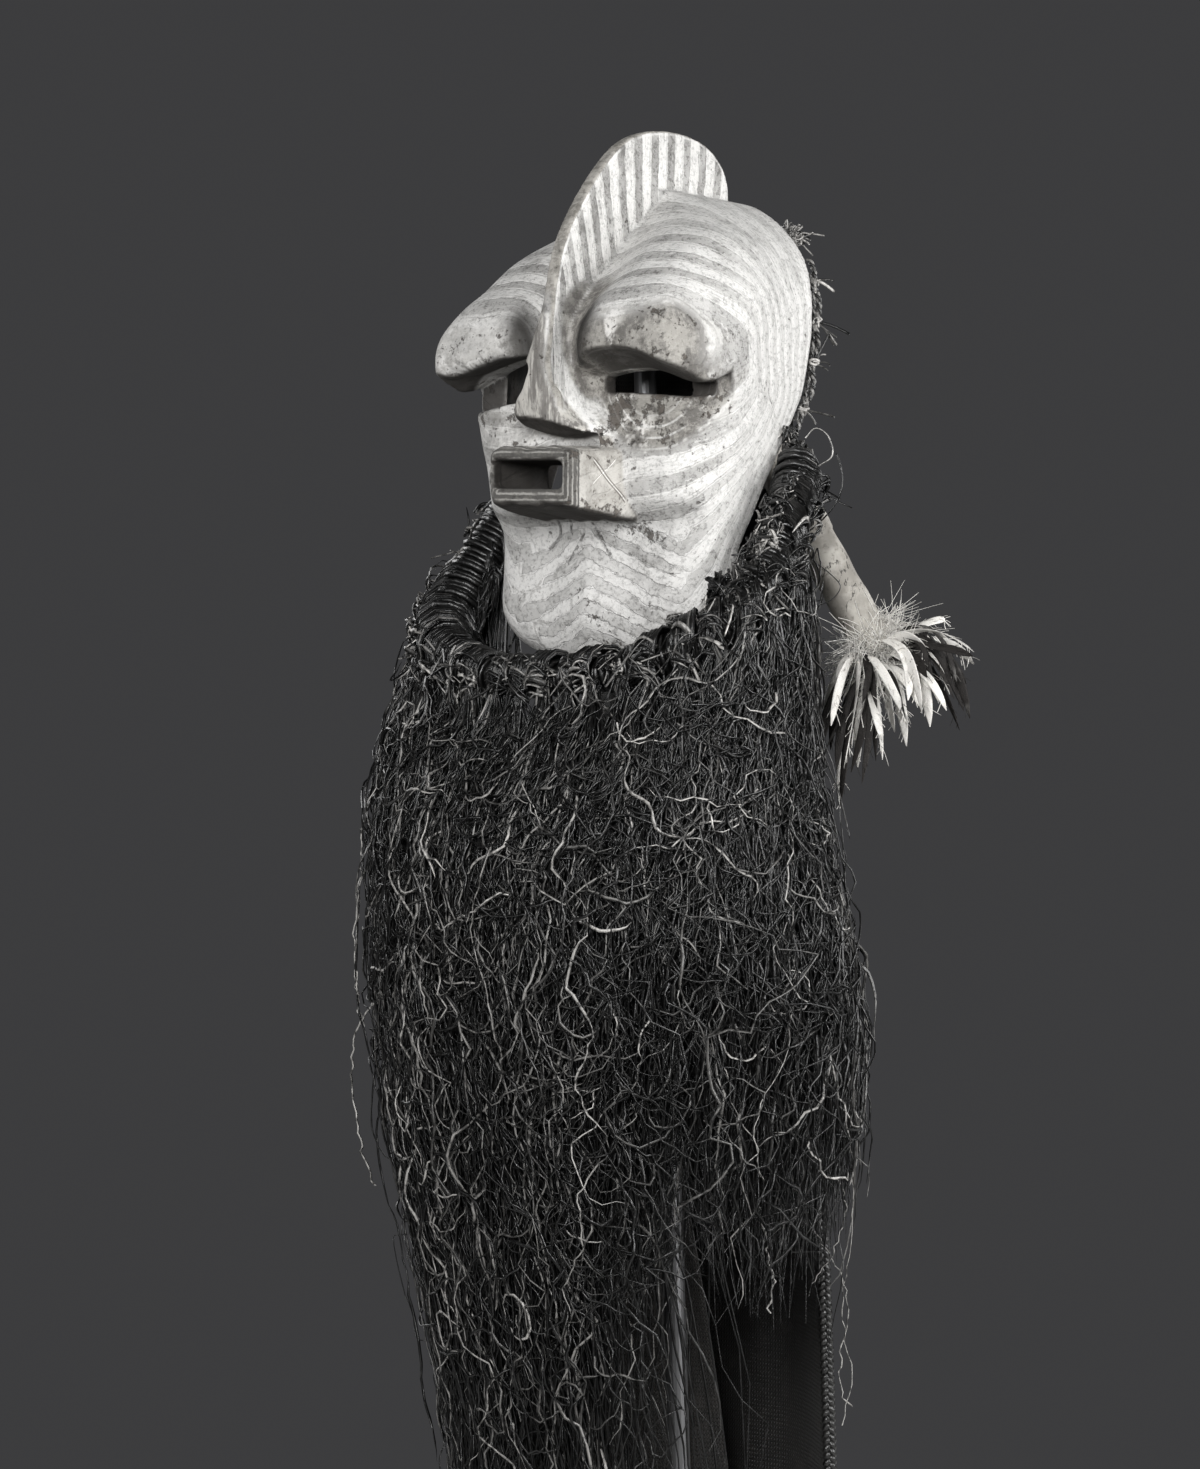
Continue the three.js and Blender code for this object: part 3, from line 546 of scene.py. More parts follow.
# %% Remesh the solid evenly and draw it onto the sections
HEAD_VOXEL = 2.9
DRAW_PASSES = [(9, 2.6), (4, 1.6)]


def copy_of(node, name):
    """A merged copy of a frame node as a new object"""
    work = bmesh.new()
    work.from_mesh(frame["nodes"][node].data)
    bmesh.ops.remove_doubles(work, verts=work.verts, dist=1e-6)
    return from_bmesh(name, work)


def positions(mesh):
    flat = np.empty(len(mesh.vertices) * 3)
    mesh.vertices.foreach_get("co", flat)
    return flat.reshape(-1, 3)


def set_positions(mesh, points):
    mesh.vertices.foreach_set("co", np.asarray(points, np.float32).ravel())
    mesh.update()


def normals(mesh):
    flat = np.empty(len(mesh.vertices) * 3)
    mesh.vertex_normals.foreach_get("vector", flat)
    return flat.reshape(-1, 3)


def apply_all(piece):
    """The piece with its modifiers made part of its mesh"""
    depsgraph = bpy.context.evaluated_depsgraph_get()
    mesh = bpy.data.meshes.new_from_object(piece.evaluated_get(depsgraph))
    piece.modifiers.clear()
    piece.data = mesh
    return piece


def smooth_faces(piece):
    piece.data.shade_smooth()


def draw_onto(surface, points, steps, limit):
    """Moves points along the steepest way until the surface's value is 0 there"""
    reach = 0.4
    for _ in range(steps):
        here = surface(points)
        slope = np.stack([surface(points + reach * axis) - here for axis in np.eye(3)], axis=1) / reach
        move = here / np.maximum((slope**2).sum(1), 0.15)
        step = -slope * move[:, None]
        length = np.linalg.norm(step, axis=1, keepdims=True)
        points = points + step * np.minimum(1, limit / np.maximum(length, 1e-9))
    return points


head = copy_of("carved_mask", "mask_head")
for steps, limit in DRAW_PASSES:
    remesh = head.modifiers.new("even", "REMESH")
    remesh.mode = "VOXEL"
    remesh.voxel_size = HEAD_VOXEL * MM
    apply_all(head)
    head_points = positions(head.data) / MM
    head_points = draw_onto(lambda p: head_surface(head_forms(*p.T)), head_points, steps, limit)
    set_positions(head.data, head_points * MM)
print("the head has", len(head.data.polygons), "faces")


# %% [markdown]
# ## Where each painted band runs
# The bands follow the carving: arcs round each lid that sweep over the temple and under the slit,
# upright stripes down the crest, and chevrons on the chin's keel.
# A band is a colour, so it isn't raised, but the carver first scored its edges with a blade.
# So each point gets smooth numbers, the running count of bands, and the finish makes crisp edges from them.

# %% Band counts and zones
ARC_BANDS = 8.5
CREST_PITCH = 27.0
CHIN_PITCH = 25.0
# strokes scored under the mouth, as x and height of their ends
CHIN_SCORES = [
    (-35, 1209, -38, 1190), (-38, 1190, -55, 1177), (-19, 1210, -23, 1187),
    (-5, 1190, -27, 1163), (4, 1205, 26, 1168),
]
# the larger chipped places, as x, height, reach and strength
CHIPPED = [(52, 1198, 26, 1.0), (85, 1182, 18, 0.8), (22, 1095, 24, 0.7)]


def set_number(mesh, name, values):
    layer = mesh.attributes.new(name, "FLOAT", "POINT")
    layer.data.foreach_set("value", np.asarray(values, np.float32))


def relax(piece, factor, repeat):
    work = bmesh.new()
    work.from_mesh(piece.data)
    for _ in range(repeat):
        bmesh.ops.smooth_vert(
            work, verts=work.verts, factor=factor, use_axis_x=True, use_axis_y=True, use_axis_z=True
        )
    work.to_mesh(piece.data)
    work.free()


relax(head, 0.5, 2)
x, y, z = (positions(head.data) / MM).T
forms = head_forms(x, y, z)
across = np.abs(x)
eye_across, eye_ahead = (across - 92) / 61, (y + 114) / 64
eye_rise = np.where(z > 1362, (z - 1362) / 51, (1362 - z) / 41)
eye_plan = (np.abs(eye_across) ** 4.5 + np.abs(eye_ahead) ** 4.5) ** (2.3 / 4.5)
from_lid = np.maximum(((eye_plan + eye_rise**2.3) ** (1 / 2.3) - 1) * 51, 0)
from_rim = np.maximum(rim_at(z) - y, 0)
chevron = 46 * np.maximum(0, 1 - across / 66) * fade(z, 1170, 1215)
crowding = 0.55 + 0.25 * fade(z, 1380, 1450) + 1.5 * fade(z, 1270, 1370) + 0.9 * fade(z, 1150, 1230)
arc_count = (from_lid + chevron) / (from_lid + chevron + crowding * from_rim + 1) * ARC_BANDS
crest_inside = -outline_distance(CREST_OUTLINE, y, z)
crest_count = (y + 24) / (0.75 + 0.25 * np.clip((z - 1430) / 130, 0, 1)) / CREST_PITCH

outer = np.minimum(np.minimum(forms["brow"], forms["cheek"]), np.minimum(forms["nose"], forms["mouth"]))
inner_weight = smooth_step(-forms["hollow"] + 3, 0, 4) * smooth_step(-outer, 3, 7)
crest_weight = smooth_step(outer, 0.5, 3.0)
nose_weight = fade(forms["nose"], 0, 3) * smooth_step(forms["brow"], -1, 3)
mouth_weight = fade(forms["mouth"], 0, 3) * smooth_step(forms["cheek"], 1, 4)
lid_depth = lid_shell(x, y, z)
lid_weight = fade(lid_depth, 0, 7)
# painted shade: the faces under the overhanging lids
overhang = smooth_step(forms["cheek"], 1, 4) * fade(forms["brow"], 0, 3) * (1 - nose_weight)
lid_underside_shade = fade(np.abs(forms["under"]), 1, 4) * overhang

mouth_rows = np.array(MOUTH_ROWS, float)
mouth_half, mouth_top, mouth_bottom = (np.interp(y, mouth_rows[:, 0], mouth_rows[:, k]) for k in (1, 2, 3))
mouth_level = z + MOUTH_TILT * x
in_frame = np.minimum(mouth_half - across, np.minimum(mouth_top - mouth_level, mouth_level - mouth_bottom))
frame_run = (y - MOUTH_ROWS[0][0]) - np.maximum(in_frame, 0)
# the crest's foot is darkened along its join with the brow
seam = np.exp(-((np.abs(forms["crest"]) + np.abs(outer)) / 2.2) ** 2) * (z > 1400)
chips = 0.5 * lid_weight * (z < 1395)
for chip_x, chip_z, reach, strength in CHIPPED:
    chips = chips + strength * np.exp(-((x - chip_x) ** 2 + (z - chip_z) ** 2) / reach**2)
beside_mouth = smooth_step(z, 1244, 1256) * fade(z, 1306, 1318)
under_eye = smooth_step(z, 1294, 1302) * fade(z, 1318, 1328) * (y < -60) * (x > 45)
chips = (chips + 1.3 * np.exp(-(((x - 43) / 10) ** 2)) * beside_mouth) * (y < 0) + 0.35 * under_eye
fading = smooth_step(y, -112, -30)
chin_count = (1215 - z + 42 * np.maximum(0, 1 - across / 105)) / CHIN_PITCH
chin_weight = fade(z, 1180, 1212) * fade(across, 88, 122) * (y < -40)
chin_weight = chin_weight * (0.35 + 0.65 * smooth_step(x, -80, -30))
# painted shade, near black: on the eye slit's inner walls, inside the mouth hole, and on the faces that look
# down under the nose and the mouth box
slit_wall_shade = fade(np.abs(forms["slit"]), 1, 3) * smooth_step(-forms["cheek"], 0.4, 2.0) * (1 - inner_weight)
mouth_hole_shade = fade(np.abs(forms["opening"]), 1, 3.5) * smooth_step(y, -197, -192)
facing_down = smooth_step(-normals(head.data)[:, 2], 0.3, 0.6)
downward_face_shade = np.maximum(nose_weight * (z < 1330), mouth_weight) * facing_down
shaded = np.maximum(downward_face_shade, np.maximum(slit_wall_shade, mouth_hole_shade))
scored = np.full(len(x), 99.0)
for ax, az, bx, bz in CHIN_SCORES:
    scored = np.minimum(scored, stroke_distance(x, z, (ax, az), (bx, bz)))
scored = np.where(y < -60, scored, 99)

# the nose's flat front stays grey, its near flank is white, and the hollow beside it is dark,
# in grey paint and painted shade; each of the two edges runs aslant over the form,
# and its place is given at a few heights
aslant = 0.788 * x + 0.616 * y
grey_to = np.interp(z, [1290, 1312, 1328, 1339, 1388, 1436], [-66, -84, -101, -107, -107, -109])
white_to = np.interp(z, [1290, 1305, 1328, 1339, 1363, 1388, 1436], [-40, -57, -77, -85, -93, -96, -98])
front_grey = fade(aslant - grey_to, -2, 2) * nose_weight
beside_nose_grey_and_shade = smooth_step(aslant - white_to, -1, 4) * (x > 0) * fade(x, 34, 52) * smooth_step(z, 1316, 1324)
beside_nose_grey_and_shade = beside_nose_grey_and_shade * fade(z, 1425, 1446) * (y < -100) * (1 - crest_weight)
# painted shadow in the crease along the lid's inner side, beside the nose
crease_shadow = np.exp(-(((lid_depth - 4) / 6.5) ** 2)) * fade(across, 40, 66) * smooth_step(z, 1345, 1352)
crease_shadow = crease_shadow * (y < -100)

for name, values in (
    ("arc_count", arc_count), ("crest_count", crest_count), ("crest_inside", crest_inside),
    ("crest_zone", crest_weight), ("nose_zone", nose_weight), ("mouth_zone", mouth_weight),
    ("lid_zone", lid_weight), ("lid_underside_shade_zone", lid_underside_shade), ("inner_zone", inner_weight),
    ("frame_run", frame_run), ("seam", seam), ("chips", chips), ("fading", fading), ("shaded", shaded),
    ("chin_count", chin_count), ("chin_zone", chin_weight), ("scored", scored), ("front_grey", front_grey),
    ("beside_nose_grey_and_shade", beside_nose_grey_and_shade), ("crease_shadow", crease_shadow), ("lid_depth", lid_depth),
):
    set_number(head.data, name, values)
smooth_faces(head)
print("bands counted up to", round(float(arc_count.max()), 1))

# %% [markdown]
# ## The paint
# White clay is brushed over the wood, and a grey-brown wash makes the bands. Years of wear have chipped it.
# An image could be painted for it, but bands that are sums of a few signals stay crisp at any distance.
# Each layer is blended over the last one, mostly in the order in which a painter and then time would add it;
# some layers are painted shade: in the lids' crease, under the lids, beside the nose, on the crest's edge,
# on the mouth box's sides, and in the slits, the mouth hole and under the nose and the mouth box.

# %% Clay paint over wood
CLAY = (0.73, 0.72, 0.70)
PALE = (0.84, 0.83, 0.81)
BAND = (0.17, 0.165, 0.157)
WOOD = (0.06, 0.048, 0.04)
# near black: the inner wood's own colour, also used for the painted shadow in the lid's crease
SOOT_AND_SHADE = (0.02, 0.018, 0.016)

paint = Finish("clay_paint", Roughness=0.8, Specular_IOR_Level=0.3)
px, py, pz = paint.axes()
wander = paint.noise(9, 3) - 0.5
tremble = paint.noise(70, 4, 0.7) - 0.5
mottle = paint.noise(24, 7, 0.68)
worn = paint.noise(75, 8, 0.74)
fine = paint.noise(210, 6, 0.8)
blotch = paint.noise(16, 4, 0.6)
speck = paint.noise(250, 3, 0.6)


def brushed(count, across):
    """Streaks that follow a run of bands: narrow across it and long beside it"""
    point = paint.node("ShaderNodeCombineXYZ", {}, {0: count * across, 1: px * 36, 2: pz * 36})
    settings = {"Vector": point, "Scale": 1.0, "Detail": 5.0, "Roughness": 0.72}
    return paint.node("ShaderNodeTexNoise", {}, settings)


def banded(count):
    """1 at the middle of each pale band, 0 at the middle of each grey one"""
    return abs(count.part() - 0.5) * 2


crest_zone = paint.attribute("crest_zone")
chin_zone = paint.attribute("chin_zone")
lid_zone = paint.attribute("lid_zone")
inner_zone = paint.attribute("inner_zone")
nose_zone = paint.attribute("nose_zone")
mouth_zone = paint.attribute("mouth_zone")
chips = paint.attribute("chips")
fading = paint.attribute("fading")

arc = paint.attribute("arc_count") + wander * 0.5 + tremble * 0.16
chin = paint.attribute("chin_count") + wander * 1.3 + tremble * 0.5
crest_run = paint.attribute("crest_count") + wander * 0.35 + tremble * 0.2
fold = mix(mix(banded(arc), banded(chin), chin_zone), banded(crest_run), crest_zone)
streak = mix(mix(brushed(arc, 17), brushed(chin, 9), chin_zone), brushed(crest_run, 11), crest_zone)
uneven = (blotch.above(0.28, 0.6) * 0.5 + 0.4) * (streak.above(0.3, 0.5) * 0.5 + 0.5)
strength = (1 - fading * 0.6 * (1 - crest_zone)) * (0.64 + crest_zone * 0.22 - chin_zone * 0.12)
band_mask = fold.below(0.38, 0.54) * uneven * strength
band_mask = band_mask * (1 - chin_zone * mottle.below(0.44, 0.58) * 0.4)
edge_line = 1 - abs(fold - 0.48).above(0.02, 0.07)
broken = paint.noise(34, 4, 0.6)
pale_line = edge_line * broken.above(0.42, 0.55)
dark_line = (1 - abs(fold - 0.56).above(0.015, 0.05)) * broken.below(0.46, 0.56)
scratch = 1 - abs((arc * 4 + tremble * 0.7).part() - 0.5).above(0.05, 0.13)
scratch = scratch * (1 - crest_zone) * (1 - chin_zone) * paint.noise(45, 4, 0.6).above(0.46, 0.6)

# the clay's own wear, then its bands and scored lines
grime = streak.below(0.34, 0.46) * 0.4 + mottle.above(0.5, 0.7) * 0.3 + fine.above(0.5, 0.6) * 0.42
painted = paint.blend(band_mask * 0.95 + grime, CLAY, BAND)
painted = paint.blend(streak.above(0.58, 0.7) * 0.5, painted, PALE)
painted = paint.blend(scratch * worn.above(0.46, 0.56) * 0.5, painted, PALE)
painted = paint.blend(scratch * worn.below(0.4, 0.5) * 0.45, painted, BAND)
painted = paint.blend(pale_line * (0.45 + chin_zone * 0.35), painted, PALE)
painted = paint.blend(dark_line * worn.above(0.44, 0.56) * (0.3 + chin_zone * 0.25), painted, WOOD)
under_slit = (paint.attribute("arc_count") + wander * 0.3).below(0.6, 0.8) * (1 - lid_zone) * (1 - nose_zone)
under_slit = under_slit * pz.below(1.335, 1.35) * px.above(-0.03, 0.02)
slit_grey = paint.blend(fine.above(0.42, 0.58), (0.52, 0.51, 0.49), (0.24, 0.23, 0.215))
painted = paint.blend(under_slit * 0.8, painted, slit_grey)
score = paint.attribute("scored").below(0.6, 2.6) * worn.above(0.42, 0.54)
painted = paint.blend(score * 0.6, painted, (0.12, 0.11, 0.10))

# the crest's edge face: painted shade in a mottled grey
inside = paint.attribute("crest_inside")
crest_edge_shade = inside.below(1.2, 2.4) * crest_zone
edge_shade_grey = paint.blend(worn.above(0.42, 0.6), (0.42, 0.40, 0.365), (0.19, 0.18, 0.16))
painted = paint.blend(crest_edge_shade * 0.9, painted, edge_shade_grey)
crest_rim = (1 - abs(inside - 3.4).above(0.6, 1.6)) * crest_zone * broken.above(0.4, 0.6)
painted = paint.blend(crest_rim * 0.6, painted, PALE)

# the lids: mottled grey, faint arcs, one pale chipped patch, and painted shade on their faces underneath
lid_run = paint.attribute("lid_depth")
lid_arcs = 1 - abs((lid_run / 6.2 + tremble * 0.25).part() - 0.5).above(0.05, 0.14)
lid_arcs = lid_arcs * lid_run.above(-20, -10) * broken.above(0.4, 0.56)
lid_tone = paint.noise(34, 7, 0.75).above(0.42, 0.57) * 0.75 + fine.above(0.5, 0.6) * 0.45
lid_colour = paint.blend(lid_tone, (0.09, 0.083, 0.074), (0.36, 0.345, 0.315))
lid_chips = blotch.above(0.54, 0.6) * worn.above(0.42, 0.5) * px.below(0.08, 0.1)
lid_colour = paint.blend(lid_chips, lid_colour, (0.74, 0.72, 0.69))
lid_colour = paint.blend(lid_arcs * 0.6, lid_colour, PALE)
painted = paint.blend(lid_zone * (0.92 - px.below(-0.07, -0.02) * 0.55), painted, lid_colour)
# painted shade: the lids' faces underneath are painted near black
painted = paint.blend(paint.attribute("lid_underside_shade_zone") * 0.92, painted, (0.04, 0.036, 0.032))

# the nose; the hollow beside it in grey paint and painted shade; and painted shadow in the lid's crease
strokes = paint.noise(90, 6, 0.75, (1, 1, 0.12))
nose_grey = paint.blend(strokes.above(0.42, 0.56), (0.13, 0.12, 0.108), (0.48, 0.46, 0.42))
nose_white = paint.blend(strokes.below(0.36, 0.5) * 0.6 + fine.above(0.52, 0.66) * 0.4, PALE, BAND)
painted = paint.blend(nose_zone * 0.8, painted, nose_white)
painted = paint.blend(paint.attribute("front_grey") * 0.85, painted, nose_grey)
# the hollow beside the nose: partly grey paint, partly painted shade
hollow_grey_and_shade = paint.blend(worn.above(0.42, 0.6), (0.12, 0.11, 0.10), (0.36, 0.345, 0.315))
painted = paint.blend(paint.attribute("beside_nose_grey_and_shade") * 0.88, painted, hollow_grey_and_shade)
# painted shadow: the crease along the lid's inner side is painted near black
painted = paint.blend(paint.attribute("crease_shadow") * 0.95, painted, SOOT_AND_SHADE)

# the mouth box: a dark scored frame, grey sides that are partly paint and partly painted shade, and a
# scratched cross
edge_run = paint.attribute("frame_run") + (worn - 0.5) * 5
frame_zone = mouth_zone * edge_run.below(9.5, 11)
frame_line = 1 - abs((edge_run / 6.0 + 0.3).part() - 0.5).above(0.1, 0.24)
frame_colour = paint.blend(frame_line * broken.above(0.42, 0.56), (0.10, 0.096, 0.09), (0.34, 0.33, 0.31))
frame_colour = paint.blend(fine.above(0.5, 0.62) * 0.5, frame_colour, (0.20, 0.19, 0.17))
frame_colour = paint.blend(worn.below(0.36, 0.44) * 0.7, frame_colour, (0.03, 0.027, 0.024))
side_of_box = mouth_zone * (1 - frame_zone)
box_wear = mottle.above(0.4, 0.6) * 0.7 + fine.above(0.5, 0.64) * 0.5
# the box's sides: a mottled grey, partly paint and partly painted shade
box_side_grey_and_shade = paint.blend(box_wear, (0.50, 0.48, 0.445), (0.25, 0.235, 0.21))
painted = paint.blend(side_of_box * 0.85, painted, box_side_grey_and_shade)
rising = abs((pz - 1.2465) - (py + 0.155) * 0.85)
falling = abs((pz - 1.2385) + (py + 0.150) * 0.93)
falling_part = py.below(-0.131, -0.129)
on_side = side_of_box * px.above(0.045, 0.048) * py.above(-0.171, -0.169)
rising_line = (1 - rising.above(0.0005, 0.0012)) * py.below(-0.142, -0.140)
falling_line = (1 - falling.above(0.0005, 0.0012)) * falling_part
cross = rising_line.highest(falling_line) * on_side
painted = paint.blend(cross * 0.8, painted, (0.84, 0.82, 0.78))
cross_dark = (1 - abs(falling - 0.0022).above(0.0004, 0.001)) * on_side * falling_part
painted = paint.blend(cross_dark * 0.75, painted, WOOD)
painted = paint.blend(frame_zone, painted, frame_colour)
# painted shade over the slit walls, the mouth hole and the faces that look down under the nose and the mouth
# box
painted = paint.blend(paint.attribute("shaded") * 0.93, painted, (0.035, 0.031, 0.028))

# wear: flakes down to the wood and specks; and the crest's foot is darkened along its join with the brow
flake = (worn + chips * 0.13).above(0.64, 0.68)
painted = paint.blend(flake * 0.85, painted, (0.09, 0.077, 0.066))
painted = paint.blend((speck + chips * 0.07).above(0.69, 0.74) * 0.85, painted, WOOD)
painted = paint.blend(paint.attribute("seam") * worn.above(0.3, 0.45) * 0.9, painted, SOOT_AND_SHADE)
wood = paint.blend(paint.noise(26, 5, 0.6, (1, 1, 0.15)).above(0.35, 0.7), SOOT_AND_SHADE, (0.06, 0.045, 0.035))
paint.feed(Base_Color=paint.blend(inner_zone, painted, wood))
paint.feed(Roughness=0.88 - band_mask * 0.12)
carved = fine * 0.35 + worn * 0.7 + mottle * 0.5 + streak * 0.7 + frame_zone * 0.3
scars = edge_line * (0.3 + chin_zone * 0.6) + dark_line * 0.3 + flake * 0.8 + cross * 0.8 + score * 1.4
paint.bump(carved - scars, 0.0015)
print("the paint has", len(paint.tree.nodes), "nodes")


# %% A piece joins the frame
def attach(piece, finish, slot, *nodes):
    """The piece takes its finish, rides on the frame, and stands for the named nodes"""
    piece.data.materials.clear()
    piece.data.materials.append(finish.material)
    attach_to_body(piece, "root")
    if nodes:
        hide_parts(*nodes)
    return piece


attach(head, paint, "painted_wood", "carved_mask")

# %% [markdown]
# ## Round bars along a line
# The roll, cords, plaits and every strand of raffia are bars along a line.
# A curve object with a bevel shape makes them all: the radius may change from point to point,
# and the curve is turned into a mesh at once, so that hundreds of strands stay one light piece.


# %% Bars
def bevel_shape(name, sides, flat=1.0):
    """A closed outline of so many sides, that a curve carries along its line"""
    data = bpy.data.curves.new(name, "CURVE")
    data.dimensions = "2D"
    data.fill_mode = "NONE"
    spline = data.splines.new("POLY")
    spline.points.add(sides - 1)
    for k, point in enumerate(spline.points):
        angle = 2 * math.pi * k / sides
        point.co = (math.cos(angle), math.sin(angle) * flat, 0, 1)
    spline.use_cyclic_u = True
    return placed(name, data)


def weld(mesh):
    """Joins each bar's end caps to its sides"""
    work = bmesh.new()
    work.from_mesh(mesh)
    bmesh.ops.remove_doubles(work, verts=work.verts, dist=1e-7)
    work.to_mesh(mesh)
    work.free()


def bars(name, lines, radii, sides=3, flat=1.0, tilts=None, tones=0.2):
    """One mesh of a bar along each line, in millimetres, with a radius at each point and a tone a bar"""
    shape = bevel_shape(name + "_section", sides, flat)
    data = bpy.data.curves.new(name, "CURVE")
    data.dimensions = "3D"
    data.bevel_mode = "OBJECT"
    data.bevel_object = shape
    data.use_fill_caps = True
    for k, (line, radius) in enumerate(zip(lines, radii)):
        spline = data.splines.new("POLY")
        spline.points.add(len(line) - 1)
        places = np.c_[np.asarray(line) * MM, np.ones(len(line))]
        spline.points.foreach_set("co", places.ravel())
        spline.points.foreach_set("radius", np.broadcast_to(np.asarray(radius) * MM, len(line)))
        if tilts is not None:
            spline.points.foreach_set("tilt", tilts[k])
    source = placed(name + "_line", data)
    depsgraph = bpy.context.evaluated_depsgraph_get()
    mesh = bpy.data.meshes.new_from_object(source.evaluated_get(depsgraph))
    mesh.name = name
    made = placed(name, mesh)
    bpy.data.objects.remove(source)
    bpy.data.objects.remove(shape)
    tones = np.broadcast_to(tones, len(lines))
    in_caps = np.repeat(tones[::-1], 2 * sides)
    set_number(mesh, "tone", np.r_[in_caps, np.repeat(tones, [len(line) * sides for line in lines])])
    weld(mesh)
    smooth_faces(made)
    return made


class Line:
    """A smooth line through points, that can be read at any share of its length"""

    def __init__(self, points):
        knots = np.array(points, float)
        ends = np.vstack([2 * knots[0] - knots[1], knots, 2 * knots[-1] - knots[-2]])
        made = []
        for a, b, c, d in zip(ends, ends[1:], ends[2:], ends[3:]):
            gaps = [max(np.linalg.norm(q - p), 1e-6) ** 0.5 for p, q in ((a, b), (b, c), (c, d))]
            leave = ((b - a) / gaps[0] - (c - a) / (gaps[0] + gaps[1]) + (c - b) / gaps[1]) * gaps[1]
            arrive = ((c - b) / gaps[1] - (d - b) / (gaps[1] + gaps[2]) + (d - c) / gaps[2]) * gaps[1]
            t = (np.arange(24) / 24)[:, None]
            made.append(
                (2 * t**3 - 3 * t**2 + 1) * b + (t**3 - 2 * t**2 + t) * leave
                + (3 * t**2 - 2 * t**3) * c + (t**3 - t**2) * arrive
            )
        self.points = np.vstack([*made, knots[-1:]])
        steps = np.linalg.norm(np.diff(self.points, axis=0), axis=1)
        self.run = np.r_[0, np.cumsum(steps)]
        self.length = self.run[-1]

    def at(self, share):
        run = np.clip(share, 0, 1) * self.length
        return np.stack([np.interp(run, self.run, column) for column in self.points.T], axis=-1)

    def framed(self, share, hint, reach=0.004):
        """Places along the line, and two directions square to it and to each other at each"""
        along = unit(self.at(np.minimum(share + reach, 1)) - self.at(np.maximum(share - reach, 0)))
        side = unit(np.cross(along, hint))
        return self.at(share), side, np.cross(side, along)


def ellipse_line(centre_x, centre_y, half_x, half_y, first, last):
    """An arc of an ellipse in plan, from one angle in degrees to another"""
    angles = np.radians(np.linspace(first, last, 60))
    return Line(np.c_[centre_x + half_x * np.cos(angles), centre_y + half_y * np.sin(angles)])


# %% [markdown]
# ## The raffia roll and the fringe
# The fringe hangs from a fat roll that is wound with cord from ear to ear.
# Raffia is torn leaf: each strand is a flat ribbon that twists, kinks and frays, and no two hang alike.
# A particle system could grow them, but the strands must be real mesh, so each one is worked out as a line:
# it is hitched over the roll with its neighbours, falls along the skirt's shape, and wanders as it falls.

# %% The skirt's driving sizes
ROLL_PATH = [
    (164, 14, 1262), (174, -8, 1226), (180, -42, 1172), (171, -82, 1120), (139, -114, 1083), (80, -135, 1059),
    (0, -143, 1050), (-80, -141, 1052), (-148, -127, 1066), (-192, -95, 1096), (-202, -54, 1140),
    (-190, -19, 1196), (-168, 8, 1248),
]
ROLL_RADII = [19, 22, 24, 24, 21, 17, 15, 17, 22, 26, 26, 23, 20]
SKIRT_FROM, SKIRT_TO = 27, -206
SKIRT_WIDE_Z = 865
SKIRT_LATE_Z = 1012
FRINGE_END_Z = 165
SHORT_BUNCHES = 5
SHORT_END_Z = 505
BUNCH_COUNT = 15
roll_line = Line(ROLL_PATH)
skirt_wide = ellipse_line(-12, -50, 260, 163, SKIRT_FROM, SKIRT_TO)
skirt_foot = ellipse_line(12, -42, 196, 116, SKIRT_FROM, SKIRT_TO)


def roll_point(share):
    return roll_line.at(0.03 + 0.94 * np.clip(share, 0, 1))


def roll_radius(share):
    places = np.linspace(0, 1, len(ROLL_RADII))
    return np.interp(0.03 + 0.94 * np.clip(share, 0, 1), places, ROLL_RADII)


def skirt_plan(share, outset):
    """The skirt's line in plan: outset 0 at the roll, 1 at its widest, 2 at its foot"""
    wide = skirt_wide.at(share)
    top = roll_point(share)[..., :2]
    foot = skirt_foot.at(share)
    upper = mix(top, wide, np.clip(outset, 0, 1)[..., None])
    return mix(upper, foot, np.clip(outset - 1, 0, 1)[..., None])


def skirt_outward(share, outset):
    along = skirt_plan(share + 0.01, outset) - skirt_plan(share - 0.01, outset)
    along /= np.maximum(np.linalg.norm(along, axis=-1, keepdims=True), 1e-6)
    return np.stack([-along[..., 1], along[..., 0]], axis=-1)


def outset_at(share, height):
    """How far out the skirt stands at a height, 0 at the roll and 1 at its widest"""
    start = roll_point(share)[..., 2] - 30
    eager = np.sin(np.clip((start - height) / (start - SKIRT_WIDE_Z), 0, 1) * math.pi / 2)
    late = smooth_step(SKIRT_LATE_Z - height, 0, 230)
    return mix(late, eager, smooth_step(share, 0.1, 0.34))


print("the roll is", round(roll_line.length), "mm long")


# %% Strands
HITCH_STEP = 31.0
HITCH_COUNT = int(roll_line.length / HITCH_STEP)
HITCH_SKEW = shake.normal(0, 10, HITCH_COUNT + 1)
HITCH_BULGE = shake.uniform(1, 9, HITCH_COUNT + 1)
ROLL_TURNS = np.radians([236, 200, 165, 132, 100, 70, 42, 16, -8])


def bends(run, pitches, sizes):
    """Smooth random angles along each of several lines, from their running length in millimetres"""
    rows = len(run)
    total = np.zeros_like(run)
    for pitch, size in zip(pitches, sizes):
        own_pitch = pitch * shake.uniform(0.7, 1.4, (rows, 1))
        own_size = size * shake.uniform(0.3, 1.2, (rows, 1))
        total += own_size * np.sin(run / own_pitch * 2 * math.pi + shake.uniform(0, 6.3, (rows, 1)))
    return total


def at_least(places, limits):
    """Places eased back where they would pass a limit"""
    return limits + np.logaddexp(0, (places - limits) / 6.0) * 6.0


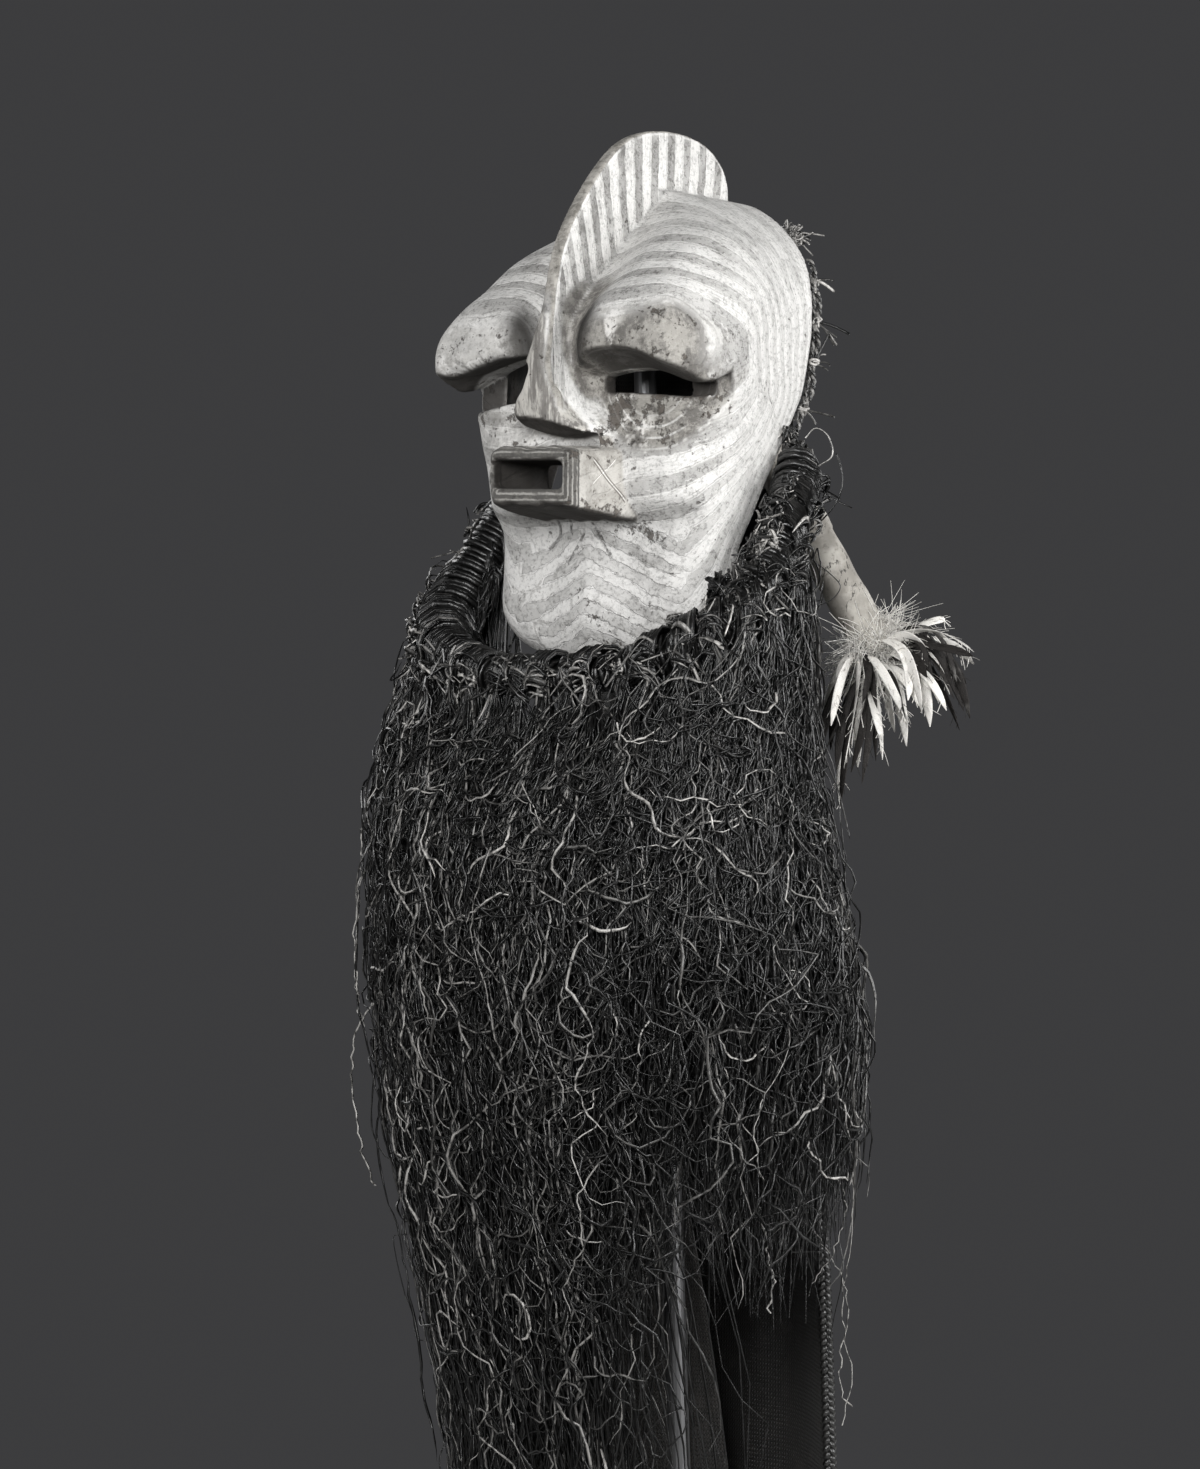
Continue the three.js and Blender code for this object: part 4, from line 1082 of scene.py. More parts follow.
def on_skirt(share, height, away):
    """Places on the skirt: a share along the roll, a height, and a distance outward from its plan"""
    away = away - 28 * fade(share, 0.0, 0.14) * smooth_step(height, 640, 900)
    outset = outset_at(np.clip(share, 0, 1), height)
    outset = outset + smooth_step(SKIRT_WIDE_Z - 60 - height, 0, SKIRT_WIDE_Z - 60 - FRINGE_END_Z)
    plan = skirt_plan(np.clip(share, 0, 1), outset)
    out_here = skirt_outward(np.clip(share, 0.011, 0.989), outset)
    beyond = 24 * np.tanh((share - np.clip(share, 0, 1)) * roll_line.length / 24)
    along = np.stack([out_here[..., 1], -out_here[..., 0]], axis=-1)
    plan = plan + out_here * away[..., None] + along * beyond[..., None]
    return np.dstack([at_least(plan, (-306, -250)), height])


def curl_lines(first, last, amount, low, points):
    """Short curled ends that spring out of the fringe anywhere between its top and a low height"""
    begin = shake.uniform(first, last, (amount, 1))
    top = roll_point(begin)[:, 0, 2:] - 25
    start = low + (top - low) * shake.uniform(0, 1, (amount, 1)) ** 0.6
    run = np.linspace(0, 1, points)[None, :] * shake.uniform(40, 135, (amount, 1))
    turn = shake.normal(0, 0.6, (amount, 1)) + run * shake.normal(0, 0.03, (amount, 1))
    turn = turn + bends(run, (46, 21), (0.5, 0.35))
    step = run[:, 1:2]
    across = np.c_[np.zeros(amount), np.cumsum(np.sin(turn[:, 1:]) * step, axis=1)]
    height = start - np.c_[np.zeros(amount), np.cumsum(np.cos(turn[:, 1:]) * step, axis=1)]
    swell = np.sin(np.linspace(0.1, 2.6, points))[None, :] * shake.uniform(4, 20, (amount, 1))
    inside = (1 - np.minimum(outset_at(np.clip(begin, 0, 1), height), 1)) * (roll_radius(begin) + 4)
    return on_skirt(begin + across / roll_line.length, height, inside + 8 + swell)


def fringe_lines(first, last, amount, points, ends, depths, curls, stand_off):
    """Strands from the roll between two shares: lines as rows of points in millimetres"""
    hitch = np.floor(shake.uniform(first, last, (amount, 1)) * HITCH_COUNT)
    own = hitch.astype(int)
    root = (hitch + 0.5 + shake.uniform(-0.36, 0.36, (amount, 1))) / HITCH_COUNT
    knot = (hitch + 0.5 + shake.normal(0, 0.1, (amount, 1))) / HITCH_COUNT
    centre = roll_point(root)[:, 0]
    lift = HITCH_BULGE[own] + shake.uniform(0, 4, (amount, 1))
    out = skirt_outward(root, np.zeros_like(root))[:, 0]
    aside = np.c_[out[:, 1], -out[:, 0]]
    turn = ROLL_TURNS[None, :]
    radius = roll_radius(root) + 1.5 + lift * np.clip(np.sin(turn + 0.6), 0.2, 1)
    skew = HITCH_SKEW[own] * np.cos(turn * 0.9)
    over = centre[:, None, :] + np.dstack([
        radius * np.cos(turn) * out[:, :1] + skew * aside[:, :1],
        radius * np.cos(turn) * out[:, 1:] + skew * aside[:, 1:],
        radius * np.sin(turn) * np.ones_like(root),
    ])
    start_z = centre[:, 2:] - roll_radius(root) * 0.45 - shake.uniform(0, 8, (amount, 1))
    drop = start_z - ends[:, None]
    curl = shake.uniform(*curls, (amount, 1))
    run = np.linspace(0, 1, points)[None, :] * drop * 1.3
    ease = smooth_step(run, -20, 70)
    run = run / (1 + stand_off / 6)
    lean = bends(run, (330, 130, 58, 27, 15), (0.3, 0.5, 0.45, 0.34, 0.2)) * curl * ease
    pitch = bends(run, (200, 90, 40, 22), (0.3, 0.5, 0.4, 0.25)) * curl * ease
    down = np.cos(lean) * np.cos(pitch)
    step = drop / np.maximum(down[:, 1:].sum(1, keepdims=True), 0.25 * points)
    fall = np.c_[np.zeros(amount), np.cumsum(down[:, 1:] * step, axis=1)]
    slide = np.c_[np.zeros(amount), np.cumsum(np.sin(lean)[:, 1:] * step, axis=1)]
    sway = np.c_[np.zeros(amount), np.cumsum((np.cos(lean) * np.sin(pitch))[:, 1:] * step, axis=1)]
    height = start_z - fall
    spread = shake.uniform(first - 0.01, last + 0.01, (amount, 1))
    share = mix(mix(spread, root, 0.3), knot, np.exp(-np.maximum(fall, 0) / 60)) + slide / roll_line.length
    outset = outset_at(np.clip(share, 0, 1), height)
    depth = shake.uniform(*depths, (amount, 1))
    thick = 6 + 18 * smooth_step(fall, 10, 220) - 6 * smooth_step(fall, 500, 900)
    clear = (1 - np.minimum(outset, 1)) * (roll_radius(share) + 4)
    room = 8 + stand_off
    away = clear + depth * thick + room * np.tanh(sway / room) + stand_off * smooth_step(fall, 60, 320)
    tucked_in = smooth_step(share, 0.965, 0.99) * fade(depth, -0.3, 0)
    away = away - shake.uniform(0, 46, (amount, 1)) * tucked_in
    return np.concatenate([over, on_skirt(share, height, away)], axis=1)


def ribbon_bars(name, lines, widths, tones):
    """Strands as flat three-sided ribbons that turn about their own line"""
    count, points = lines.shape[:2]
    twist = shake.uniform(0, 6.3, (count, 1)) + np.cumsum(shake.normal(0, 0.3, (count, points)), axis=1)
    taper = np.ones(points)
    taper[-3:] = (0.8, 0.55, 0.2)
    radii = widths[:, None] * taper * (1 + 0.3 * np.sin(twist * 1.3))
    return bars(name, lines, radii, 3, 0.5, twist, tones)


def joined(name, pieces):
    """Several pieces made one mesh"""
    with bpy.context.temp_override(active_object=pieces[0], selected_editable_objects=pieces):
        bpy.ops.object.join()
    pieces[0].name = name
    return pieces[0]


# %% Raffia finish
raffia = Finish("raffia", Roughness=0.3, Specular_IOR_Level=0.7)
tone = raffia.attribute("tone")
fibre = raffia.noise(300, 3, 0.6, (1, 1, 0.12))
kinks = raffia.noise(110, 3, 0.6)
straw = raffia.blend(tone.above(0.12, 1.0), (0.002, 0.002, 0.0019), (0.64, 0.62, 0.59))
straw = raffia.blend(fibre.above(0.45, 0.75) * 0.6, straw, (0.012, 0.011, 0.01))
straw = raffia.blend(kinks.below(0.38, 0.52) * 0.85, straw, (0.002, 0.0019, 0.0018))
raffia.feed(Base_Color=straw, Roughness=0.22 + kinks * 0.3)
raffia.bump(fibre * 0.5 + kinks, 0.0012)

# %% [markdown]
# Each kind of strand below is a layer of the real fringe: a dark inner curtain, long hanging strands,
# kinked ones of any length that catch the light, and a few pale strays that stand off from the rest.

# %% Hang the bunches
STRAND_KINDS = [
    # strands, points, depth, curl, half-width, brightness, stand-off, shortening
    (46, 9, (-1.3, 0.0), (0.2, 0.5), (1.4, 2.2), 0.015, 0, 15),
    (46, 24, (-0.3, 0.4), (0.3, 0.9), (1.0, 1.8), 0.07, 0, 90),
    (30, 50, (0.1, 0.7), (0.5, 1.4), (0.9, 1.7), 0.62, 0, 420),
    (5, 80, (0.5, 1.0), (0.8, 1.6), (1.0, 1.7), 0.7, 5, 300),
]
CURL_COUNT = 110
THINNING = 1
STRAGGLER_SHARE = 0.12
POLE_BUNCH = SHORT_BUNCHES
POLE_CUT_SHARE = 0.86
bunch_pieces = []
for index in range(BUNCH_COUNT):
    name = f"raffia_bunch_{index + 1:02d}"
    short = index < SHORT_BUNCHES
    ragged = 26 * math.sin(index * 2.3) + 20 * math.cos(index * 1.1)
    end = (SHORT_END_Z if short else FRINGE_END_Z) + ragged
    first, last = index / BUNCH_COUNT, (index + 1) / BUNCH_COUNT
    made = []
    for amount, points, depths, curls, half_widths, brightness, off, less in STRAND_KINDS:
        amount = amount // THINNING
        less = less * (0.5 if short else 1)
        ends = end - 12 + np.minimum(shake.exponential(less, amount), 900 - end)
        if short:
            # a few curly ones still hang below the rest
            points = points * 2 // 3
            ends = ends + shake.uniform(-35, 60, amount)
            longer = shake.uniform(0, 300, amount)
            ends = ends - longer * (shake.uniform(0, 1, amount) < STRAGGLER_SHARE * (curls[1] > 1))
        if index == POLE_BUNCH:
            # most of this bunch ends early too, so the pole shows beside it
            cut_short = shake.uniform(0, 1, amount) < POLE_CUT_SHARE
            ends = np.where(cut_short, np.maximum(ends, SHORT_END_Z - shake.uniform(0, 60, amount)), ends)
        lines = fringe_lines(first, last, amount, points, ends, depths, curls, off)
        tones = np.clip(brightness * shake.beta(0.55, 1.6, amount), 0, 1)
        made.append(ribbon_bars(name + "_part", lines, shake.uniform(*half_widths, amount), tones))
    amount = CURL_COUNT // THINNING // (2 if short else 1)
    lines = curl_lines(first, last, amount, end + 40, 11)
    tones = shake.beta(0.35, 1.8, amount)
    made.append(ribbon_bars(name + "_part", lines, shake.uniform(0.8, 1.7, amount), tones))
    bunch_pieces.append(attach(joined(name + "_strands", made), raffia, "raffia", name))
print("strand faces:", sum(len(piece.data.polygons) for piece in bunch_pieces))

# %% [markdown]
# The roll is a core with a cord wound round it, and each hitch of strands is drawn tight by a few loops.

# %% The wound roll
WIND_PITCH = 6.4
WIND_CORD = 3.0


def wound(line, radius_at, pitch, cord, per_turn, jitter):
    """A cord wound round a line, as points in millimetres"""
    turns = line.length / pitch
    share = np.linspace(0, 1, int(turns * per_turn))
    angle = share * turns * 2 * math.pi
    centre, side, up = line.framed(share, (0, 0, 1.0))
    reach = radius_at(share) + cord * 0.6 + jitter * np.sin(angle * 0.37) * np.sin(share * 61)
    return centre + side * (reach * np.cos(angle))[:, None] + up * (reach * np.sin(angle))[:, None]


def raw_roll_radius(share):
    return np.interp(share, np.linspace(0, 1, len(ROLL_RADII)), ROLL_RADII) - 3


def collars():
    """The loops that draw each hitch of strands tight against the roll"""
    made = []
    for hitch in range(HITCH_COUNT):
        share = (hitch + 0.5) / HITCH_COUNT
        centre = roll_point(np.array(share))
        out = skirt_outward(np.array(share), np.array(0.0))
        aside = np.array((out[1], -out[0]))
        reach = roll_radius(share) + 5 + HITCH_BULGE[hitch] * 0.5
        across = np.linspace(-1, 1, 8)
        for k in range(9):
            turn = math.radians(30 - 8 * k) + shake.normal(0, 0.12)
            away = reach + 8 * (1 - across**2) + shake.uniform(-1, 3)
            width = shake.uniform(9, 14)
            slid = across * width + HITCH_SKEW[hitch]
            plan = out * (away * math.cos(turn))[:, None] + aside * slid[:, None]
            rise = away * math.sin(turn) + across * shake.normal(0, 6) - 5 * across**2
            made.append(centre + np.c_[plan, rise])
    return made


def rim_shade_strand_lines(amount):
    """Dark strands that lie along the roll's inner side, where it meets the chin: their dark tones are
    painted shade in the gap
    """
    share = np.linspace(0.3, 0.86, 70)
    centre = roll_line.at(share)
    out = skirt_outward(share, np.zeros_like(share))
    made = []
    for _ in range(amount):
        inward = shake.uniform(8, 31) + bends(share[None, :] * 600, (90, 37), (2.5, 2.5))[0]
        lift = shake.uniform(-6, 20) + bends(share[None, :] * 600, (80, 30), (3, 2))[0]
        made.append(centre + np.c_[-out * inward[:, None], lift])
    return np.array(made)


# dark strands on the roll's inner side stand in for the shade between the roll and the chin
rim_shade_strands = rim_shade_strand_lines(110)
rim_widths = shake.uniform(1.2, 2.4, len(rim_shade_strands))
rim_shade_bars = ribbon_bars("rim_shade_strands", rim_shade_strands, rim_widths, shake.beta(0.5, 3, len(rim_shade_strands)) * 0.6)
core_share = np.linspace(0, 1, 60)
roll_core = bars("roll_core", [roll_line.at(core_share)], [raw_roll_radius(core_share)], 14, tones=0.02)
winding = wound(roll_line, raw_roll_radius, WIND_PITCH, WIND_CORD, 12, 3.0)
cord_radii = WIND_CORD + 0.5 * np.sin(np.arange(len(winding)) * 0.9)
roll_cord = bars("roll_cord", [winding], [cord_radii], 5, tones=0.06)
collar_lines = np.array(collars())
collar_widths = shake.uniform(1.1, 2.9, len(collar_lines))
collar_bars = ribbon_bars("collars", collar_lines, collar_widths, shake.beta(0.5, 1.5, len(collar_lines)))
roll_core = joined("raffia_roll_windings", [roll_core, roll_cord, collar_bars, rim_shade_bars])
attach(roll_core, raffia, "raffia", "raffia_roll")
print("the roll has", HITCH_COUNT, "hitches and", len(roll_core.data.polygons), "faces")

# %% [markdown]
# ## The knitted cape
# A long piece of dark knitting hangs behind from a cord, its near edge plaited and its far edge folded
# back in behind the pole. Its upper end goes up inside the head's open back, and its dark cloth stands in
# for the shade inside the head, so the eye slits look dark.
# It is a sheet, so it starts as a grid that is hung along plan lines at its top, its neck and its hem.
# Its stitches are too small and too many for mesh, so they are in the finish, on the cloth's own UV map.

# %% The cape's sizes
CAPE_TOP = [(98, 96), (66, 126), (0, 138), (-66, 126), (-110, 88), (-132, 44), (-134, 20)]
CAPE_BOTTOM = [
    (152, 88), (92, 138), (0, 158), (-98, 130), (-158, 60), (-146, -8), (-88, -18), (-22, 26), (58, 68),
]
CAPE_TOP_Z, CAPE_BOTTOM_Z = 1240, 130
CAPE_FOLDS = 7
CAPE_THICKNESS = 3.2
HOOD_TOP = [(112, 76), (78, 110), (0, 128), (-78, 110), (-110, 78)]
HOOD_TOP_Z = 1425
HOOD_PART = 17 / 22
HOOD_ROWS, CAPE_ROWS = 18, 120
CAPE_COLUMNS = 22 * 4
hood_top = Line(HOOD_TOP)
cape_top = Line(CAPE_TOP)
cape_bottom = Line(CAPE_BOTTOM)


def cape_point(share, drop):
    """A point of the cape: share along it from the plaited edge, drop from its top to its hem"""
    a = cape_top.at(share)
    b = cape_bottom.at(share)
    plan = mix(a, b, smooth_step(drop, -0.15, 1.1)[..., None])
    along = unit(cape_bottom.at(share + 0.01) - cape_bottom.at(share - 0.01))
    fold = 7 * drop * np.sin(share * CAPE_FOLDS * 2 * math.pi) * np.sin(math.pi * share)
    fold = fold + 2.2 * np.sin(share * 41 + drop * 3) * drop
    plan = plan + np.stack([along[..., 1], -along[..., 0]], axis=-1) * fold[..., None]
    return np.concatenate([plan, mix(CAPE_TOP_Z, CAPE_BOTTOM_Z, drop)[..., None]], axis=-1)


def cloth_point(share, row):
    """The whole cloth: above its neck it is the hood, which only part of its width has"""
    neck = HOOD_ROWS / (HOOD_ROWS + CAPE_ROWS)
    drop = (row - neck) / (1 - neck)
    place = cape_point(share, np.maximum(drop, 0))
    rise = np.clip(-drop * (1 - neck) / neck, 0, 1)
    hood = hood_top.at(share / HOOD_PART)
    gather = 3 * np.sin(share * 70) * np.sin(rise * 3)
    raised = mix(place[..., :2], hood, rise[..., None]) + gather[..., None] * (0.2, 0.8)
    height = mix(np.full_like(rise, CAPE_TOP_Z), HOOD_TOP_Z, rise)
    hooded = np.concatenate([raised, height[..., None]], axis=-1)
    return np.where((drop < -1e-6)[..., None], hooded, place)


def cloth_grid(name, across, down, place, left_out):
    """A grid with a UV map, each corner put where place says, in millimetres, and some faces left out"""
    work = bmesh.new()
    bmesh.ops.create_grid(work, x_segments=across, y_segments=down, size=0.5, calc_uvs=True)
    uv_layer = work.loops.layers.uv.verify()
    flat = {vert: (vert.co.x + 0.5, 0.5 - vert.co.y) for vert in work.verts}
    for face in work.faces:
        for loop in face.loops:
            loop[uv_layer].uv = flat[loop.vert]
    spare = [face for face in work.faces if left_out(*np.mean([flat[v] for v in face.verts], axis=0))]
    bmesh.ops.delete(work, geom=spare, context="FACES")
    flat = {vert: flat[vert] for vert in work.verts}
    spots = place(*np.array(list(flat.values())).T) * MM
    for vert, spot in zip(flat, spots):
        vert.co = spot
    bmesh.ops.recalc_face_normals(work, faces=work.faces)
    return from_bmesh(name, work)


def beyond_hood(share, row):
    return row < HOOD_ROWS / (HOOD_ROWS + CAPE_ROWS) and share > HOOD_PART


cape = cloth_grid("knitted_cape_cloth", CAPE_COLUMNS, CAPE_ROWS + HOOD_ROWS, cloth_point, beyond_hood)
shell = cape.modifiers.new("thickness", "SOLIDIFY")
shell.thickness = CAPE_THICKNESS * MM
shell.offset = 0
apply_all(cape)
smooth_faces(cape)

knit = Finish("dark_knit", Roughness=0.95, Specular_IOR_Level=0.2, Sheen_Weight=0.15)
along_width, along_drop, _ = knit.axes("UV")
wale = along_width * 190
course = along_drop * 300
leg = abs(wale.part() - 0.5) * 2
stitch = (course + leg * 0.7).part()
height = (abs(stitch - 0.5) * 2).below(0.2, 1.0) * leg.above(0.05, 0.5) * leg.below(0.75, 1.0)
# the yarn's own dark colour, darker still where a stitch sinks: painted shade between the loops
yarn_and_stitch_shade = knit.blend(height, (0.004, 0.0035, 0.003), (0.022, 0.019, 0.016))
yarn_and_stitch_shade = knit.blend(knit.noise(60, 4).above(0.5, 0.75) * 0.6, yarn_and_stitch_shade, (0.035, 0.03, 0.026))
knit.feed(Base_Color=yarn_and_stitch_shade)
knit.bump(height, 0.002)
attach(cape, knit, "knit", "knitted_cape")

# %% The plaited edge
BRAID_RADIUS = 3.3
BRAID_PERIOD = 21.0
BRAID_OFFSET = 5.5


def across_line(centre, hint):
    """Two directions at each point of a line, square to it and to each other"""
    along = unit(np.gradient(centre, axis=0))
    side = unit(np.cross(along, hint))
    return side, np.cross(side, along)


def plait(line_points, period, width, depth):
    """Three cords that pass over and under each other along a line of points"""
    line = Line(line_points)
    share = np.linspace(0, 1, int(line.length / period * 12))
    centre = line.at(share)
    side, front = across_line(centre, (0.6, -0.8, 0))
    lines = []
    for k in range(3):
        turn = share * line.length / period * 2 * math.pi + k * 2 * math.pi / 3
        swing = side * (width * np.sin(turn))[:, None]
        lines.append(centre + swing + front * (depth * np.sin(2 * turn))[:, None])
    return lines


drops = np.linspace(0, 1, 12)
edge = cape_point(np.zeros(12), drops)
inward = unit(cape_point(np.full(12, 0.01), drops) - edge)
braid_lines = plait(edge - inward * BRAID_OFFSET, BRAID_PERIOD, 4.0, 2.6)
braid = bars("braided_edge", braid_lines, [BRAID_RADIUS] * 3, 6)
attach(braid, raffia, "cord", "cape_edge_braid")
print("the plait is", round(Line(edge).length), "mm long")

# %% [markdown]
# ## Cords, knots and lacing
# A plied cord is two bars twisted round one line. A knot of frayed raffia has no clear path to copy,
# so it is a short cord led through random points round the knot's middle, which reads as a real tangle.


# %% Plied cords and tangles
def plied(points, ply, lay, shares=(0, 1), bulge=None):
    """Two cords twisted round a line through points, given in millimetres"""
    line = Line(points)
    share = np.linspace(*shares, max(int(line.length * (shares[1] - shares[0]) / lay * 8), 8))
    centre = line.at(share)
    side, front = across_line(centre, (0.3, 0.9, 0.2))
    if bulge is not None:
        centre = centre + bulge(share)
    lines = []
    for start in (0, math.pi):
        turn = (share * line.length / lay * 2 * math.pi + start)[:, None]
        lines.append(centre + (side * np.cos(turn) + front * np.sin(turn)) * ply)
    return lines


def tangle(middle, size, loops):
    """A cord led through random points round a middle"""
    away = unit(shake.normal(0, 1, (loops, 3)))
    stops = np.array(middle) + away * np.array(size) * shake.uniform(0.6, 1, (loops, 1))
    return Line(stops).at(np.linspace(0, 1, loops * 5))


def wisp(start, direction, length, curl=0.5, points=8):
    """A loose end that leaves a place in a direction, droops and curls"""
    part = np.linspace(0, 1, points)[:, None]
    direction = unit(np.array(direction, float))
    bend = shake.normal(0, curl, 3)
    path = np.array(start) + length * (direction * part + bend * part**2 * 0.5)
    return path + np.array((0, 0, -0.25)) * length * part**2


# %% The lacing of the rim
LACING = [
    (84, 108, 1506), (104, 99, 1488), (136, 78, 1440), (145, 67, 1385), (146, 51, 1326), (143, 32, 1293),
]
LACING_KNOTS = [0.34, 0.52, 0.7, 0.9]
LACING_PLY = 1.7


def lacing(name, side):
    path = [(x * side, y, z) for x, y, z in LACING]
    line = Line(path)
    outward = np.array((0.75 * side, 0.45, 0.1))

    def slack(share):
        return outward * (2.5 + 4 * np.abs(np.sin(share * math.pi / 0.18)))[:, None]

    cords = plied(path, LACING_PLY, 13, (0.22, 1), slack) + plied(path, LACING_PLY, 17, (0.3, 0.95))
    for share in LACING_KNOTS:
        middle = line.at(np.array(share)) + outward * 4
        cords.append(tangle(middle, (7, 6, 8), 9))
        cords.append(tangle(middle - outward * 7, (5, 5, 5), 5))
        cords += [wisp(middle, shake.normal(0, 1, 3) + outward, shake.uniform(12, 30)) for _ in range(4)]
    for share in (0.0, 0.045, 0.09):
        middle = line.at(np.array(share)) + outward * 3
        cords.append(tangle(middle, (9, 8, 9), 16))
        cords += [wisp(middle, shake.normal(0, 1, 3) + outward, shake.uniform(8, 22)) for _ in range(9)]
    widths = shake.uniform(0.9, 1.9, len(cords))
    widths[:4] = LACING_PLY
    tones = shake.uniform(0.1, 0.8, len(cords))
    return bars(name, cords, widths, 5, 0.8, tones=tones)


attach(lacing("lacing_left", 1), raffia, "cord", "rim_lacing_left")
attach(lacing("lacing_right", -1), raffia, "cord", "rim_lacing_right")

# %% [markdown]
# Where the roll meets the ear it is a mass of tangled ends, and smaller knots run on under the chin.
# The clumps that show are placed one by one, and the rest follow the roll's hitches.


# %% The knots at the ear and beside the chin
def knotted(middle, size, loops, ends, reach):
    """A clump of knotted strands with loose ends"""
    made = [tangle(middle, size, loops), tangle(middle, np.array(size) * 0.7, loops)]
    for _ in range(ends):
        start = np.array(middle) + shake.uniform(-1, 1, 3) * size
        made.append(wisp(start, shake.normal(0, 0.6, 3) + (0.4, -0.5, -1), shake.uniform(*reach), 0.9))
    return made


EAR_CLUMPS = [
    # middle, size, loops
    ((155, 17, 1290), (9, 9, 11), 34), ((161, 15, 1270), (17, 14, 17), 60),
    ((168, 8, 1244), (19, 15, 20), 70), ((176, -4, 1214), (18, 16, 20), 60),
    ((186, -22, 1180), (14, 12, 18), 40),
    ((152, -99, 1132), (22, 12, 22), 70), ((168, -84, 1150), (13, 11, 18), 40),
    ((106, -108, 1104), (14, 8, 10), 30),
]
EAR_LOOPS = [
    [(170, 18, 1284), (180, 20, 1293), (193, 22, 1286), (199, 22, 1266), (184, 20, 1256), (165, 16, 1245)],
    [(205, 20, 1267), (211, 20, 1252), (212, 20, 1235), (205, 18, 1218), (196, 14, 1206), (180, 6, 1190)],
    [(184, 12, 1163), (200, 18, 1150), (211, 18, 1138), (204, 16, 1127), (188, 8, 1118)],
    [(196, -84, 1134), (206, -72, 1134), (211, -69, 1142), (206, -72, 1151), (197, -80, 1151),
     (193, -84, 1143), (199, -80, 1133)],
    [(188, -60, 1180), (206, -44, 1150), (214, -40, 1110), (206, -52, 1070), (196, -66, 1040)],
]
for share in np.arange(0.02, 0.33, 0.024):
    facing = np.array((shake.uniform(0.1, 0.62), -0.82, 0.25)) * (roll_radius(share) - 1)
    EAR_CLUMPS.append((roll_point(np.array(share)) + facing, (12, 12, 17), 24))
for share in np.arange(0.05, 0.25, 0.028):
    facing = np.array((-0.5, -0.8, 0)) * (roll_radius(share) + 5)
    EAR_CLUMPS.append((roll_point(np.array(share)) + facing, (9, 9, 16), 18))
for hitch in range(int(0.3 * HITCH_COUNT), int(0.97 * HITCH_COUNT)):
    share = (hitch + shake.uniform(0.1, 0.9)) / HITCH_COUNT
    outward = skirt_outward(np.array(share), np.array(0.0)) * (roll_radius(share) - 3)
    EAR_CLUMPS.append((roll_point(np.array(share)) + (*outward, shake.uniform(-6, 12)), (13, 11, 12), 13))
knots = []
for middle, size, loops in EAR_CLUMPS:
    knots += knotted(middle, size, loops // (1), 8, (10, 30))
widths = list(shake.uniform(0.8, 2.0, len(knots)))
knots += [Line(path).at(np.linspace(0, 1, 30)) for path in EAR_LOOPS]
widths += [1.1, 1.2, 0.9, 1.3, 1.0]
tones = np.clip(shake.beta(0.5, 1.1, len(knots)), 0, 1)
ear_knots = bars("ear_knots", knots, widths, 3, 0.6, tones=tones)
attach(ear_knots, raffia, "raffia")
print("the knots are", len(knots), "strands")

# %% [markdown]
# The boldest loose strands are worth placing one by one: loops beside the skirt, and ends across the pole.

# %% Strays, loops and the strands that cross the pole
STRAYS = [
    [(196, -60, 620), (222, -28, 590), (236, -10, 545), (228, -20, 500), (214, -34, 470)],
    [(190, -66, 700), (226, -20, 660), (240, -8, 600), (236, 0, 520), (226, 0, 430), (232, 6, 380),
     (222, 2, 330)],
    [(180, -60, 560), (216, -10, 500), (226, 10, 440), (214, 14, 400), (218, 8, 360), (232, 4, 350)],
    [(30, -160, 560), (52, -150, 500), (68, -146, 445), (84, -140, 480), (100, -120, 545)],
    [(44, -150, 530), (66, -150, 470), (80, -140, 430), (92, -132, 476), (112, -110, 520)],
    [(40, -156, 520), (46, -160, 430), (36, -165, 330), (44, -160, 240), (38, -158, 170)],
    [(70, -140, 540), (52, -150, 440), (56, -155, 330), (48, -150, 230)],
    [(90, -130, 540), (70, -146, 470), (58, -150, 380), (64, -150, 300), (60, -152, 200)],
    [(150, -70, 610), (170, -60, 540), (178, -50, 480), (172, -48, 440)],
    [(-196, -150, 980), (-240, -160, 930), (-262, -150, 850), (-272, -146, 780), (-262, -150, 700)],
    [(-210, -140, 900), (-262, -140, 860), (-282, -130, 800), (-276, -140, 740), (-256, -150, 700)],
    [(-200, -150, 760), (-262, -150, 700), (-286, -134, 640), (-270, -140, 580), (-240, -150, 540)],
    [(170, -100, 930), (206, -96, 905), (222, -84, 880), (224, -76, 850), (208, -92, 826), (188, -104, 800)],
    [(160, -110, 925), (190, -108, 918), (214, -90, 915), (238, -64, 912), (246, -50, 900)],
]
strays = [Line(path).at(np.linspace(0, 1, 40)) for path in STRAYS]
strays = [line + shake.normal(0, 1.2, line.shape) * np.array((1, 1, 0.4)) for line in strays]
stray_widths = shake.uniform(0.8, 1.5, len(strays))
attach(bars("stray_strands", strays, stray_widths, 3, 0.6, tones=0.75), raffia, "raffia")
print("placed by hand:", len(strays), "strays")

# %% [markdown]
# Something has to carry the cape: one plied cord goes round under the head, and the cape's neck lies on it.

# %% The cord that the cape hangs from
NECK_CORD = [
    (128, 14, 1262), (90, 44, 1256), (90, 86, 1247), (62, 117, 1247), (0, 128.5, 1247),
    (-62, 117, 1247), (-98, 81, 1247), (-131, 48, 1248), (-130, 24, 1256),
]
neck_cord = bars("cape_cord", plied(NECK_CORD, 2.7, 22), [2.8, 2.8], 7, tones=[0.3, 0.35])
attach(neck_cord, raffia, "cord", "neck_cord")
print("the neck cord is", round(Line(NECK_CORD).length), "mm long")

# %% [markdown]
# ## The stick and its tuft
# A pale rolled hide tube is tied in beside the ear. Its seam opens toward the lower end,
# where a cuff of white down hides the lashing of long hackle feathers.
# Feathers are flat tapered bars that droop along their own weight, with finer bars as their loose barbs.

